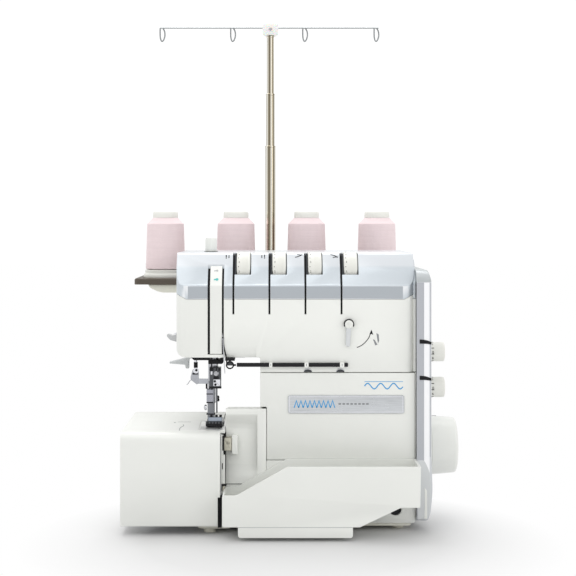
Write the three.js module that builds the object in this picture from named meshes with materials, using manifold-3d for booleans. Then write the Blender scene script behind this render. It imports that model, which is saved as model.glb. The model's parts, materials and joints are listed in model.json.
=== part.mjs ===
// Home four-thread serger (overlock machine) with a telescopic thread stand.
// Millimetres. X runs to the right along the machine's front, Y to the back, Z up.
// Shapes are drawn with Y = 0 at the front of the free arm and Z = 0 on the table,
// and the finished group is shifted so that its origin is the bottom centre of its box.
import * as THREE from 'three';
import { mergeVertices } from 'three/addons/utils/BufferGeometryUtils.js';
import Module from 'manifold-3d';

const wasm = await Module();
wasm.setup();

// ---------------------------------------------------------------- driving dimensions
const GAP = 0.3; // clearance between pieces that touch
const WALL = 3; // moulded cover thickness
const TOP_WALL = 2.5; // top cover thickness
const BODY_FRONT = 20;
const BODY_BACK = 178;
const BODY_RIGHT = 142.5;
const SHELL_SPLIT_Y = 85; // seam between the front and rear shells of the head
const BASE_TOP = 7.5; // top of the base plate
const CLOTH_Z = 103; // sewing surface
const FOOT_HEIGHT = 4.3;

const HEAD_LEFT = -101;
const HEAD_BOTTOM = 176;
const HEAD_STEP_BOTTOM = 161.2; // underside of the head over the column
const HEAD_TOP = 235;
const HEAD_CORNER = 12; // upright front corners of the head, seen from above
const HEAD_REAR_CORNER = 6;
const SEAM_RISE = 5.6; // the seam under the top cover climbs this far at the head's ends
const SEAM_RUN = 11; // over this width
const COLUMN_LEFT = -15;
const MACHINE_TOP = 282;
const SLOPE_FOOT = [22.5, 251]; // y, z where the top cover leans back
const SLOPE_CREASE = [32, 268];
const SLOPE_CREST = [42, MACHINE_TOP];

const ARM_LEFT = -155; // free arm cover
const ARM_RIGHT = -55;
const ARM_BACK = 145;
const ARM_BOTTOM = 8.7;

const PLATE_X = [-77.5, -50.6]; // needle plate
const PLATE_Y = [18, 78];
const PLATE_THICKNESS = 3.5;

const NEEDLE_BAR_AT = [-62, 50];
const NEEDLE_SPACING = 2.4;
const NEEDLE_TIP_Z = 114;
const PRESSER_BAR_AT = [-67, 62];
const PRESSURE_KNOB_AT = [-68.5, 90];
const PRESSURE_KNOB_RADIUS = 5.9;

const DIAL_COUNT = 4;
const THREAD_SLOT_X = -42.3; // first thread slot, the others follow at the dial pitch
const DIAL_PITCH = 36.65;
const DIAL_OFFSET = 10; // dial centre to the right of its slot
const DIAL_WIDTH = 14;
const DIAL_RADIUS = 18;
const DIAL_AXIS = [48, 264.8]; // y, z
const DIAL_WINDOW_Y = [27.6, 62];
const THREAD_SLOT_WIDTH = 2;
const THREAD_SLOT_BOTTOM = 219.8;
const TENSION_SHAFT_RADIUS = 4;

const TAKE_UP_NOTCH_X = [-68.5, -52];
const TAKE_UP_COVER_X = [-66, -54];
const TAKE_UP_NOTCH_BACK = 33.6;

const COVER_X = [-8.4, 142.5]; // looper cover
const COVER_Z = [72, 160.4];
const COVER_FLANGE_BACK = 26;
const COVER_EAR_BOTTOM = 125.7; // over the chip guard the looper cover reaches to the column's left
const CHIP_GUARD_TOP = 124;
const CHIP_GUARD_BACK = 34; // the scoop's room behind the front
const TRAY_FRONT = -25;
const TRAY_BACK = 19.5;
const TRAY_RIM_Z = 73.5;
const TRAY_WALL = 2.2;
const TRAY_FLOOR = 3;

const PANEL_X = 143.5; // inner edge of the side panel
const PANEL_TOP = 265;
const PANEL_FRONT = 15;
const SHAFT_AT = [95, 74.4]; // main shaft, y and z
const SHAFT_RADIUS = 5;
const WHEEL_RIGHT = 195.3;
const MOTOR_AT = [118, 165];
const DRIVE_PULLEY_RADIUS = 28;
const MOTOR_PULLEY_RADIUS = 9;
const PULLEY_X = [146.5, 153.5];
const BELT_THICKNESS = 1.6;

const PLATFORM_X = [-162.4, 152];
const PLATFORM_Y = [190, 285];
const PLATFORM_Z = [242, 249];
const PLATFORM_SUPPORT_BOTTOM = 232.5;
const CONE_Y = 235;
const CONE_X = [-130, -46.3, 37.5, 121];
const CONE_BASE_TOP = 258;
const CONE_BODY_RADIUS = [23.3, 21.6];
const CONE_CAP_RADIUS = 14.5;
const CONE_TOP = 326.9;

const POLE_AT = [-5.4, 250];
const POLE_RADII = [6.1, 5.2, 4.3]; // base, middle and top tube
const POLE_TUBE_WALL = 0.6;
const POLE_TOPS = [405.5, 468, 537.2];
const POLE_OVERLAP = 20;
const GUIDE_WIRE_Z = 547;
const GUIDE_WIRE_RADIUS = 0.9;
const EYELET_X = [-135, -50.4, 36, 121.6];
const EYELET_DROP = 16.5;

// ---------------------------------------------------------------- solids and booleans
const AXIS_X = new THREE.Vector3(1, 0, 0);
const AXIS_Y = new THREE.Vector3(0, 1, 0);
const AXIS_Z = new THREE.Vector3(0, 0, 1);

// Where a drawing plane's u, v and depth go for a prism along each axis.
const PLANES = {
  x: new THREE.Matrix4().makeBasis(AXIS_Y, AXIS_Z, AXIS_X),
  y: new THREE.Matrix4().makeBasis(AXIS_X, AXIS_Z, AXIS_Y.clone().negate()),
  z: new THREE.Matrix4(),
};

function toSolid(geometry) {
  const bare = geometry.clone();
  bare.deleteAttribute('normal');
  bare.deleteAttribute('uv');
  const merged = mergeVertices(bare, 1e-4);
  const kept = [];
  const corners = merged.index.array;
  for (let i = 0; i < corners.length; i += 3) {
    const [a, b, c] = corners.slice(i, i + 3);
    if (a !== b && b !== c && c !== a) kept.push(a, b, c);
  }
  return new wasm.Manifold(new wasm.Mesh({
    numProp: 3,
    vertProperties: new Float32Array(merged.attributes.position.array),
    triVerts: new Uint32Array(kept),
  }));
}

function toGeometry(solid) {
  const mesh = solid.getMesh();
  const geometry = new THREE.BufferGeometry();
  geometry.setAttribute('position', new THREE.BufferAttribute(mesh.vertProperties, 3));
  geometry.setIndex(new THREE.BufferAttribute(mesh.triVerts, 1));
  geometry.computeVertexNormals();
  return geometry;
}

const join = (first, ...others) => others.reduce((sum, other) => sum.add(other), first);
const cut = (first, ...others) => others.reduce((rest, other) => rest.subtract(other), first);

function box([x0, x1], [y0, y1], [z0, z1]) {
  const geometry = new THREE.BoxGeometry(x1 - x0, y1 - y0, z1 - z0);
  geometry.translate((x0 + x1) / 2, (y0 + y1) / 2, (z0 + z1) / 2);
  return toSolid(geometry);
}

// Puts a shape made along +Y onto an axis whose other two coordinates are `at`.
function alongAxis(geometry, axis, at) {
  if (axis === 'x') {
    geometry.rotateZ(-Math.PI / 2);
    geometry.translate(0, at[0], at[1]);
  } else if (axis === 'y') {
    geometry.translate(at[0], 0, at[1]);
  } else {
    geometry.rotateX(Math.PI / 2);
    geometry.translate(at[0], at[1], 0);
  }
  return geometry;
}

function rod(axis, at, [from, to], radius, sides = 24, endRadius = radius) {
  const geometry = new THREE.CylinderGeometry(endRadius, radius, to - from, sides);
  geometry.translate(0, (from + to) / 2, 0);
  return toSolid(alongAxis(geometry, axis, at));
}

// Turns a profile of [radius, height] points about an axis.
function revolve(axis, at, profile, sides = 32) {
  const points = profile.map(([radius, height]) => new THREE.Vector2(radius, height));
  return toSolid(alongAxis(new THREE.LatheGeometry(points, sides), axis, at));
}

// An outline of [u, v, corner radius] points.
function outline(points) {
  const shape = new THREE.Shape();
  points.forEach(([u, v, radius = 0], i) => {
    const corner = new THREE.Vector2(u, v);
    const towards = (other) => new THREE.Vector2(other[0], other[1]).sub(corner).setLength(radius);
    const start = towards(points.at(i - 1)).add(corner);
    const end = towards(points[(i + 1) % points.length]).add(corner);
    if (i === 0) shape.moveTo(start.x, start.y);
    else shape.lineTo(start.x, start.y);
    if (radius > 0) shape.quadraticCurveTo(u, v, end.x, end.y);
  });
  shape.closePath();
  return shape;
}

function prism(axis, points, [from, to], curveSegments = 4) {
  const options = { depth: to - from, bevelEnabled: false, curveSegments };
  const geometry = new THREE.ExtrudeGeometry(outline(points), options);
  geometry.translate(0, 0, axis === 'y' ? -to : from);
  geometry.applyMatrix4(PLANES[axis]);
  return toSolid(geometry);
}

function wire(points, radius, steps, sides = 6) {
  const section = new THREE.Shape();
  for (let i = 0; i < sides; i += 1) {
    const angle = (i / sides) * 2 * Math.PI;
    const corner = [radius * Math.cos(angle), radius * Math.sin(angle)];
    if (i === 0) section.moveTo(...corner);
    else section.lineTo(...corner);
  }
  section.closePath();
  const path = new THREE.CatmullRomCurve3(points.map((point) => new THREE.Vector3(...point)));
  return toSolid(new THREE.ExtrudeGeometry(section, { steps, extrudePath: path }));
}

// ---------------------------------------------------------------- materials and the scene graph
const FINISHES = {
  whitePlastic: [0xe9eae5, 0.38, 0],
  silverPlastic: [0xd5dade, 0.3, 0.25],
  greyPlastic: [0x8f9397, 0.5, 0],
  blackPlastic: [0x17181a, 0.45, 0],
  brownPlastic: [0x5a4f45, 0.5, 0],
  rubber: [0x2b2b2b, 0.9, 0],
  castAluminium: [0xa9acae, 0.5, 0.9],
  steel: [0xc4c7ca, 0.25, 1],
  darkSteel: [0x5b5f64, 0.35, 1],
  thread: [0xe3ccd0, 0.85, 0],
};

const group = new THREE.Group();

function addPiece(name, finish, solid) {
  const [color, roughness, metalness] = FINISHES[finish];
  const material = new THREE.MeshStandardMaterial({ color, roughness, metalness });
  const mesh = new THREE.Mesh(toGeometry(solid), material);
  mesh.name = name;
  group.add(mesh);
}

// ---------------------------------------------------------------- base and feet
function addBase() {
  const left = -78;
  const right = 139;
  const front = 10;
  const corners = [
    [left, front, 6],
    [-45, front, 4],
    [-45, BODY_FRONT + 2, 4],
    [right, BODY_FRONT + 2, 6],
    [right, BODY_BACK - 2, 6],
    [left, BODY_BACK - 2, 6],
  ];
  addPiece('base_plate', 'whitePlastic', prism('z', corners, [FOOT_HEIGHT + GAP, BASE_TOP]));
  const feet = {
    foot_front_left: [-66, 18],
    foot_front_right: [126, 36],
    foot_rear_left: [-66, 160],
    foot_rear_right: [126, 160],
  };
  for (const [name, at] of Object.entries(feet)) {
    addPiece(name, 'rubber', rod('z', at, [0, FOOT_HEIGHT], 5.4, 20, 6.2));
  }
}

// ---------------------------------------------------------------- cast frame
function makeFreeArmCasting() {
  const x = [-138, -46];
  const y = [10, 128];
  const z = [12, 99.2];
  const wall = 4;
  return cut(
    box(x, y, z),
    box([x[0] + wall, x[1] + 1], [y[0] + wall, y[1] - wall], [z[0] + wall, z[1] - wall]),
    box([PLATE_X[0] + 1.5, x[1] + 1], [PLATE_Y[0] + 2, PLATE_Y[1] - 2], [60, z[1] + 1]),
    box([-54, x[1] + 1], [y[0] - 1, PLATE_Y[1] - 2], [z[0] - 1, z[1] + 1]),
  );
}

function makeColumnCasting() {
  const front = 80;
  const back = 170;
  const top = 225;
  const floor = BASE_TOP + GAP;
  const column = join(
    box([20, 26], [front, back], [floor, top]),
    box([118, 125], [front, back], [floor, top]),
    box([20, 125], [back - 6, back], [floor, top]),
    box([-50, 125], [front, back], [floor, 16]),
    box([-50, 26], [118, 128], [floor, 90]),
  );
  return cut(
    column,
    rod('x', SHAFT_AT, [19, 27], SHAFT_RADIUS + 0.5),
    rod('x', SHAFT_AT, [117, 126], 12),
    rod('x', MOTOR_AT, [117, 126], 4.6),
  );
}

function makeArmCasting() {
  const beam = cut(
    box([-95, 26], [92, 160], [190, 225]),
    box([-96, 20], [97, 155], [195, 220]),
  );
  const barGuide = cut(
    box([-80, -48], [42, 94], [198, 222]),
    rod('z', NEEDLE_BAR_AT, [190, 230], 3.5),
    rod('z', PRESSER_BAR_AT, [190, 230], 3.7),
  );
  return join(beam, barGuide);
}

function addFrame() {
  const frame = join(makeFreeArmCasting(), makeColumnCasting(), makeArmCasting());
  addPiece('main_frame', 'castAluminium', frame);
}

// ---------------------------------------------------------------- head shells
const HEAD_OUTLINE = [
  [HEAD_LEFT + SEAM_RUN, HEAD_TOP],
  [HEAD_LEFT, HEAD_TOP + SEAM_RISE],
  [HEAD_LEFT, HEAD_BOTTOM, 11],
  [COLUMN_LEFT, HEAD_BOTTOM, 2],
  [COLUMN_LEFT, HEAD_STEP_BOTTOM, 2],
  [BODY_RIGHT, HEAD_STEP_BOTTOM, 1],
  [BODY_RIGHT, HEAD_TOP + SEAM_RISE],
  [BODY_RIGHT - SEAM_RUN, HEAD_TOP],
];

// The column rises through an opening in the stepped underside.
const COLUMN_OPENING = [
  [17, BODY_RIGHT - WALL],
  [78, BODY_BACK - WALL],
  [HEAD_STEP_BOTTOM - 1, HEAD_STEP_BOTTOM + WALL + 1],
];

// The cavity leaves one wall all round, and runs out through the top.
const HEAD_CAVITY = [
  [HEAD_LEFT + WALL, HEAD_TOP + 10],
  [HEAD_LEFT + WALL, HEAD_BOTTOM + WALL, 8],
  [COLUMN_LEFT + WALL, HEAD_BOTTOM + WALL],
  [COLUMN_LEFT + WALL, HEAD_STEP_BOTTOM + WALL],
  [BODY_RIGHT - WALL, HEAD_STEP_BOTTOM + WALL],
  [BODY_RIGHT - WALL, HEAD_TOP + 10],
];

// The head seen from above, drawn in by `inset` all round, as a block of the given height.
function headPlan(inset, zRange) {
  const [left, right] = [HEAD_LEFT + inset, BODY_RIGHT - inset];
  const [front, back] = [BODY_FRONT + inset, BODY_BACK - inset];
  const frontRadius = HEAD_CORNER - inset;
  const rearRadius = HEAD_REAR_CORNER - inset;
  return prism('z', [
    [left, front, frontRadius],
    [right, front, frontRadius],
    [right, back, rearRadius],
    [left, back, rearRadius],
  ], zRange, 6);
}

const threadSlotX = (i) => THREAD_SLOT_X + i * DIAL_PITCH;
const dialX = (i) => threadSlotX(i) + DIAL_OFFSET;

const DIALS = Array.from({ length: DIAL_COUNT }, (_, i) => i);

function threadSlotCutters(yRange, zRange) {
  const half = THREAD_SLOT_WIDTH / 2;
  return DIALS.map((i) => box([threadSlotX(i) - half, threadSlotX(i) + half], yRange, zRange));
}

// A shell of the head between two depths, with its cavity open towards the seam and the top.
function headShell([front, back]) {
  const reach = [HEAD_STEP_BOTTOM - 5, HEAD_TOP + 20];
  const seamAtBack = back === SHELL_SPLIT_Y;
  const cavityY = seamAtBack ? [front, back + 1] : [front - 1, back];
  const outside = prism('y', HEAD_OUTLINE, [front, back]).intersect(headPlan(0, reach));
  const cavity = prism('y', HEAD_CAVITY, cavityY).intersect(headPlan(WALL, reach));
  return cut(outside, cavity, box(...COLUMN_OPENING));
}

function addFrontHousing() {
  const through = [BODY_FRONT - 1, BODY_FRONT + WALL + 1];
  const needleOpening = [[-88, -50], [38, 74], [HEAD_BOTTOM - 1, HEAD_BOTTOM + WALL + 1]];
  const sweptEdge = [
    [BODY_FRONT - 1, HEAD_BOTTOM + 12],
    [BODY_FRONT, HEAD_BOTTOM + 12],
    [BODY_FRONT + 0.3, HEAD_BOTTOM + 8],
    [BODY_FRONT + 1, HEAD_BOTTOM + 4],
    [BODY_FRONT + 2.3, HEAD_BOTTOM - 1],
    [BODY_FRONT - 1, HEAD_BOTTOM - 1],
  ];
  const housing = cut(
    headShell([BODY_FRONT, SHELL_SPLIT_Y]),
    box(TAKE_UP_NOTCH_X, through, [HEAD_BOTTOM + WALL, HEAD_TOP + 1]),
    box(...needleOpening),
    prism('x', sweptEdge, [-50, COLUMN_LEFT - 4]),
    ...threadSlotCutters(through, [THREAD_SLOT_BOTTOM, HEAD_TOP + 1]),
  );
  addPiece('front_housing', 'whitePlastic', housing);
}

function addRearArmCover() {
  const lifterSlot = [[HEAD_LEFT - 4, -70], [94, 108], [HEAD_BOTTOM - 6, HEAD_BOTTOM + 20]];
  const motorShaftHole = rod('x', MOTOR_AT, [BODY_RIGHT - WALL - 1, BODY_RIGHT + 1], 6);
  const cover = cut(headShell([SHELL_SPLIT_Y + GAP, BODY_BACK]), box(...lifterSlot), motorShaftHole);
  addPiece('rear_arm_cover', 'whitePlastic', cover);
}

// ---------------------------------------------------------------- top cover
const TOP_PROFILE = [
  [BODY_FRONT, HEAD_TOP + GAP],
  [BODY_FRONT, SLOPE_FOOT[1] - 2, 1.5],
  SLOPE_FOOT,
  [...SLOPE_CREASE, 3],
  [...SLOPE_CREST, 3],
  [BODY_BACK, MACHINE_TOP, 6],
  [BODY_BACK, HEAD_TOP + GAP],
];

const TOP_CAVITY = [
  [BODY_FRONT + TOP_WALL, HEAD_TOP - 5],
  [BODY_FRONT + TOP_WALL, SLOPE_FOOT[1] - 3],
  [SLOPE_FOOT[0] + 2.2, SLOPE_FOOT[1] - 1.2],
  [SLOPE_CREASE[0] + 2.1, SLOPE_CREASE[1] - 1.4],
  [SLOPE_CREST[0] + 1.7, MACHINE_TOP - TOP_WALL],
  [BODY_BACK - TOP_WALL, MACHINE_TOP - TOP_WALL],
  [BODY_BACK - TOP_WALL, HEAD_TOP - 5],
];

function dialWindow(i) {
  const left = threadSlotX(i) - THREAD_SLOT_WIDTH / 2;
  const right = dialX(i) + DIAL_WIDTH / 2 + 0.8;
  return box([left, right], DIAL_WINDOW_Y, [HEAD_TOP + 5, MACHINE_TOP + 10]);
}

// The corner of the head under the climbing seam, a gap larger than the shell itself.
function seamWedge(end, inward) {
  const seam = HEAD_TOP + GAP;
  return prism('y', [
    [end - inward, seam - 5],
    [end + inward * (SEAM_RUN + 5), seam - 5],
    [end + inward * SEAM_RUN, seam],
    [end - inward, seam + SEAM_RISE * (1 + 1 / SEAM_RUN)],
  ], [BODY_FRONT - 1, BODY_BACK + 1]);
}

function addTopCover() {
  const ends = [HEAD_LEFT, BODY_RIGHT];
  const reach = [HEAD_TOP - 10, MACHINE_TOP + 5];
  const cavity = prism('x', TOP_CAVITY, ends).intersect(headPlan(TOP_WALL, reach));
  const cover = cut(
    prism('x', TOP_PROFILE, ends).intersect(headPlan(0, reach)),
    cavity,
    seamWedge(HEAD_LEFT, 1),
    seamWedge(BODY_RIGHT, -1),
    box(TAKE_UP_NOTCH_X, [BODY_FRONT - 1, TAKE_UP_NOTCH_BACK], [HEAD_TOP - 1, MACHINE_TOP]),
    rod('z', PRESSURE_KNOB_AT, [MACHINE_TOP - 10, MACHINE_TOP + 1], PRESSURE_KNOB_RADIUS + 0.7),
    ...threadSlotCutters([BODY_FRONT - 1, 40], [HEAD_TOP - 1, MACHINE_TOP]),
    ...DIALS.map(dialWindow),
  );
  addPiece('top_cover', 'silverPlastic', cover);
}

function addTakeUpCover() {
  const profile = [
    [BODY_FRONT - 0.5, HEAD_BOTTOM + WALL + 0.5, 1],
    [BODY_FRONT - 0.5, SLOPE_FOOT[1] - 2, 1.5],
    [SLOPE_FOOT[0] - 0.4, SLOPE_FOOT[1] + 0.6],
    [SLOPE_CREASE[0] + 0.4, SLOPE_CREASE[1] + 0.8, 0.8],
    [SLOPE_CREASE[0] + 1.2, SLOPE_CREASE[1] - 1.2],
    [SLOPE_FOOT[0] + 1.8, SLOPE_FOOT[1] - 0.1],
    [BODY_FRONT + 2.2, SLOPE_FOOT[1] - 3],
    [BODY_FRONT + 2.2, HEAD_BOTTOM + WALL + 0.5],
  ];
  addPiece('take_up_cover', 'whitePlastic', prism('x', profile, TAKE_UP_COVER_X));
}

// ---------------------------------------------------------------- lower body covers
// Column walls, the back of the base and the bed behind the needle plate, cut from one block.
function addRearBaseCover() {
  const floor = BASE_TOP + GAP;
  const top = HEAD_STEP_BOTTOM - GAP;
  const bedLeft = ARM_RIGHT + 0.6;
  const bedFront = PLATE_Y[1] + 1;
  const bayWall = [bedFront - 3, bedFront - 0.5];
  const columnInside = COLUMN_LEFT + WALL;
  const beyond = BODY_RIGHT + 1;
  const before = BODY_FRONT - 1;
  const wholeHeight = [floor - 1, top + 1];
  const underBed = [floor - 1, CLOTH_Z - WALL];
  const insideBack = BODY_BACK - WALL;
  const cover = cut(
    box([bedLeft, BODY_RIGHT], [BODY_FRONT, BODY_BACK], [floor, top]),
    box([bedLeft - 1, COLUMN_LEFT], [before, BODY_BACK + 1], [CLOTH_Z, top + 1]),
    box([columnInside, beyond], [bayWall[1], insideBack], wholeHeight),
    box([columnInside, beyond], [BODY_FRONT + WALL, bayWall[0]], wholeHeight),
    box([COVER_X[0] - 0.5, beyond], [before, BODY_FRONT + WALL + 1], wholeHeight),
    box([COLUMN_LEFT - 1, beyond], [before, COVER_FLANGE_BACK + GAP], [CHIP_GUARD_TOP, top + 1]),
    box([bedLeft - 1, beyond], [before, CHIP_GUARD_BACK], [floor - 1, CHIP_GUARD_TOP + GAP]),
    box([bedLeft - 1, columnInside], [before, bedFront], underBed),
    box([bedLeft - 1, COLUMN_LEFT], [before, bedFront], [floor - 1, CLOTH_Z + 1]),
    box([bedLeft + WALL, columnInside + 1], [bedFront - 1, insideBack], underBed),
    box([bedLeft - 1, bedLeft + WALL + 1], [before, ARM_BACK + 0.6], underBed),
  );
  addPiece('rear_base_cover', 'whitePlastic', cover);
}

function addBaseFrontCover() {
  const floor = BASE_TOP + GAP;
  const corners = [
    [-50, floor, 3],
    [BODY_RIGHT, floor, 3],
    [BODY_RIGHT, COVER_Z[0] - 0.6],
    [COVER_X[0] - 0.3, COVER_Z[0] - 0.6],
    [COVER_X[0] - 0.3, 46.7],
    [-50, 46.7, 2],
  ];
  const cover = cut(
    prism('y', corners, [BODY_FRONT, BODY_FRONT + WALL]),
    rod('y', [122.3, 21.6], [BODY_FRONT - 1, BODY_FRONT + WALL - 1], 6.2),
  );
  addPiece('base_front_cover', 'whitePlastic', cover);
}

function addChipGuard() {
  const x = [-50, COVER_X[0] - 0.5];
  const bottom = 47;
  const top = CHIP_GUARD_TOP;
  const depth = 9.5; // how far the scoop reaches in
  const skin = [
    [BODY_FRONT, bottom],
    [BODY_FRONT, bottom + 2],
    [BODY_FRONT + depth - 2, 62, 6],
    [BODY_FRONT + depth, 84, 8],
    [BODY_FRONT + depth - 2, 106, 6],
    [BODY_FRONT, top - 6, 2],
    [BODY_FRONT, top, 1],
    [BODY_FRONT + 5, top],
    [BODY_FRONT + depth + 0.6, 107, 6],
    [BODY_FRONT + depth + 2.4, 84, 8],
    [BODY_FRONT + depth + 0.6, 61, 6],
    [BODY_FRONT + 3, bottom],
  ];
  const flank = [
    [BODY_FRONT, bottom],
    [BODY_FRONT, top, 1],
    [BODY_FRONT + 6, top],
    [BODY_FRONT + 6, bottom],
  ];
  const guard = join(prism('x', skin, x, 5), prism('x', flank, [x[1] - 9, x[1]]));
  addPiece('chip_guard', 'whitePlastic', guard);
}

function addLooperCover() {
  const [left, right] = COVER_X;
  const [bottom, top] = COVER_Z;
  const skinY = [BODY_FRONT, BODY_FRONT + WALL];
  const flangeY = [BODY_FRONT, COVER_FLANGE_BACK];
  const cover = join(
    box(COVER_X, skinY, COVER_Z),
    box([COLUMN_LEFT, left + 1], skinY, [COVER_EAR_BOTTOM, top]),
    box([COLUMN_LEFT, right], flangeY, [top - WALL, top]),
    box([COLUMN_LEFT, COLUMN_LEFT + WALL], flangeY, [COVER_EAR_BOTTOM, top]),
    box([right - WALL, right], flangeY, [bottom + 8, top]),
  );
  addPiece('looper_cover', 'whitePlastic', cover);
  const plate = [
    [13.2, 119.3, 2],
    [131.3, 119.3, 2],
    [131.3, 137.9, 2],
    [13.2, 137.9, 2],
  ];
  const front = BODY_FRONT - GAP;
  addPiece('name_plate', 'silverPlastic', prism('y', plate, [front - 0.7, front], 3));
}

function addFreeArmCover() {
  const shellWall = 2.5;
  const profile = [
    [0, ARM_BOTTOM, 2],
    [0, CLOTH_Z, 11],
    [ARM_BACK, CLOTH_Z, 6],
    [ARM_BACK, ARM_BOTTOM],
  ];
  const cavity = [
    [shellWall, ARM_BOTTOM - 5],
    [shellWall, CLOTH_Z - shellWall, 9],
    [ARM_BACK - shellWall, CLOTH_Z - shellWall, 4],
    [ARM_BACK - shellWall, ARM_BOTTOM - 5],
  ];
  const cover = cut(
    prism('x', profile, [ARM_LEFT, ARM_RIGHT], 5),
    prism('x', cavity, [ARM_LEFT + shellWall, ARM_RIGHT + 1], 5),
    box(
      [PLATE_X[0] - 0.5, ARM_RIGHT + 1],
      [PLATE_Y[0] - 0.5, PLATE_Y[1] + 0.5],
      [90, CLOTH_Z + 1],
    ),
    box([ARM_RIGHT - 2.3, ARM_RIGHT + 1], [-1, 30], [ARM_BOTTOM - 1, 38]),
  );
  addPiece('free_arm_cover', 'whitePlastic', cover);
}

// ---------------------------------------------------------------- trim tray
// Front outline of the tray, seen from the front; the inner one is drawn a wall inside it.
function trayOutline(inset, floorLift, rim) {
  return [
    [-51.9 + inset, 14.3 + floorLift, 2],
    [83.3 - inset, 14.3 + floorLift],
    [123.5 - inset, 33.4 + floorLift / 2, 3],
    [142.4 - inset, 33.4 + floorLift / 2, 1],
    [143.2 - inset, rim],
    [12.3, rim],
    [-3.1, rim - 8.8],
    [-38.2, rim - 28.2, 3],
    [-51.9 + inset, rim - 28.2, rim > TRAY_RIM_Z ? 0 : 2],
  ];
}

function addTrimTray() {
  const insideY = [TRAY_FRONT + TRAY_WALL, TRAY_BACK - TRAY_WALL];
  const outer = prism('y', trayOutline(0, 0, TRAY_RIM_Z), [TRAY_FRONT, TRAY_BACK]);
  const inner = prism('y', trayOutline(TRAY_WALL, TRAY_FLOOR, TRAY_RIM_Z + 40), insideY);
  const foot = [
    [-36.3, 16],
    [-36.3, 3.8, 3],
    [76.4, 3.8, 3],
    [76.4, 16],
  ];
  const tray = join(cut(outer, inner), prism('y', foot, [TRAY_FRONT, TRAY_BACK]));
  addPiece('trim_tray', 'whitePlastic', tray);
}

// ---------------------------------------------------------------- right side
function addSidePanel() {
  const silhouette = [
    [PANEL_X, 10],
    [154.4, 10, 3],
    [157.6, 20],
    [159.8, 42, 12],
    [158.4, 72, 12],
    [158.4, 254, 3],
    [155.4, PANEL_TOP, 2],
    [PANEL_X, PANEL_TOP],
  ];
  const sideView = [
    [PANEL_FRONT, 10, 8],
    [PANEL_FRONT, PANEL_TOP, 14],
    [BODY_BACK, PANEL_TOP, 14],
    [BODY_BACK, 10, 8],
  ];
  const outer = prism('y', silhouette, [PANEL_FRONT, BODY_BACK]);
  const panel = cut(
    outer.intersect(prism('x', sideView, [PANEL_X - 1, 165])),
    box([PANEL_X - 1, 155.5], [PANEL_FRONT + 2.5, BODY_BACK - 2.5], [14, PANEL_TOP - 12]),
    rod('x', SHAFT_AT, [150, 165], SHAFT_RADIUS + 3),
    rod('x', [60, 178], [150, 165], 4.5),
    rod('x', [60, 141], [150, 165], 4.5),
    box([150, 165], [139.5, 164.5], [57.5, 74.5]),
    box([150, 165], [137.4, 166.6], [17.4, 48.6]),
  );
  addPiece('side_panel', 'silverPlastic', panel);
}

function sideDial(z, radius) {
  const bore = 0.4;
  return revolve('x', [60, z], [
    [bore, 152],
    [4, 152],
    [4, 160.2],
    [radius, 160.2],
    [radius, 176.4],
    [radius - 0.7, 177.1],
    [bore, 177.1],
    [bore, 152],
  ], 24);
}

function addSideControls() {
  addPiece('stitch_length_dial', 'whitePlastic', sideDial(178, 10));
  addPiece('differential_dial', 'whitePlastic', sideDial(141, 10.5));
  const rocker = prism('y', [
    [153, 58.5],
    [159.5, 58.5, 1],
    [161.5, 66, 4],
    [159.5, 73.5, 1],
    [153, 73.5],
  ], [140.5, 163.5]);
  addPiece('power_switch', 'blackPlastic', rocker);
  const socketX = [148, 161];
  const socket = cut(
    box(socketX, [138, 166], [18, 48]),
    prism('x', [
      [141, 21, 2],
      [163, 21, 2],
      [163, 40, 2],
      [158, 45],
      [146, 45],
      [141, 40, 2],
    ], [151, 162]),
  );
  addPiece('inlet_socket', 'blackPlastic', socket);
}

// ---------------------------------------------------------------- drive
function ringProfile(inner, outer, [from, to]) {
  return [
    [inner, from],
    [outer, from],
    [outer, to],
    [inner, to],
    [inner, from],
  ];
}

function addHandwheel() {
  const wheel = revolve('x', SHAFT_AT, [
    [SHAFT_RADIUS + GAP, 161.5],
    [24, 161.5],
    [29.5, 166],
    [31.5, 168],
    [29.2, 190.5],
    [27, 193.5],
    [12, WHEEL_RIGHT],
    [SHAFT_RADIUS + GAP, WHEEL_RIGHT],
    [SHAFT_RADIUS + GAP, 161.5],
  ], 44);
  addPiece('handwheel', 'whitePlastic', wheel);
  addPiece('main_shaft', 'steel', rod('x', SHAFT_AT, [-8, WHEEL_RIGHT - 6], SHAFT_RADIUS));
}

function addDrive() {
  const bore = SHAFT_RADIUS + GAP;
  const bearing = revolve('x', SHAFT_AT, ringProfile(bore, 11.7, [118, 125]));
  addPiece('shaft_bearing', 'steel', bearing);
  const pulley = revolve('x', SHAFT_AT, ringProfile(bore, DRIVE_PULLEY_RADIUS, PULLEY_X), 48);
  addPiece('drive_pulley', 'greyPlastic', pulley);
  addPiece('motor_case', 'darkSteel', rod('x', MOTOR_AT, [62, 117.6], 30, 40));
  addPiece('motor_pulley', 'steel', join(
    rod('x', MOTOR_AT, [118, PULLEY_X[1]], 4),
    rod('x', MOTOR_AT, PULLEY_X, MOTOR_PULLEY_RADIUS),
  ));
  addPiece('drive_belt', 'rubber', cut(beltLoop(GAP + BELT_THICKNESS, 0), beltLoop(GAP, 1)));
}

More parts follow.
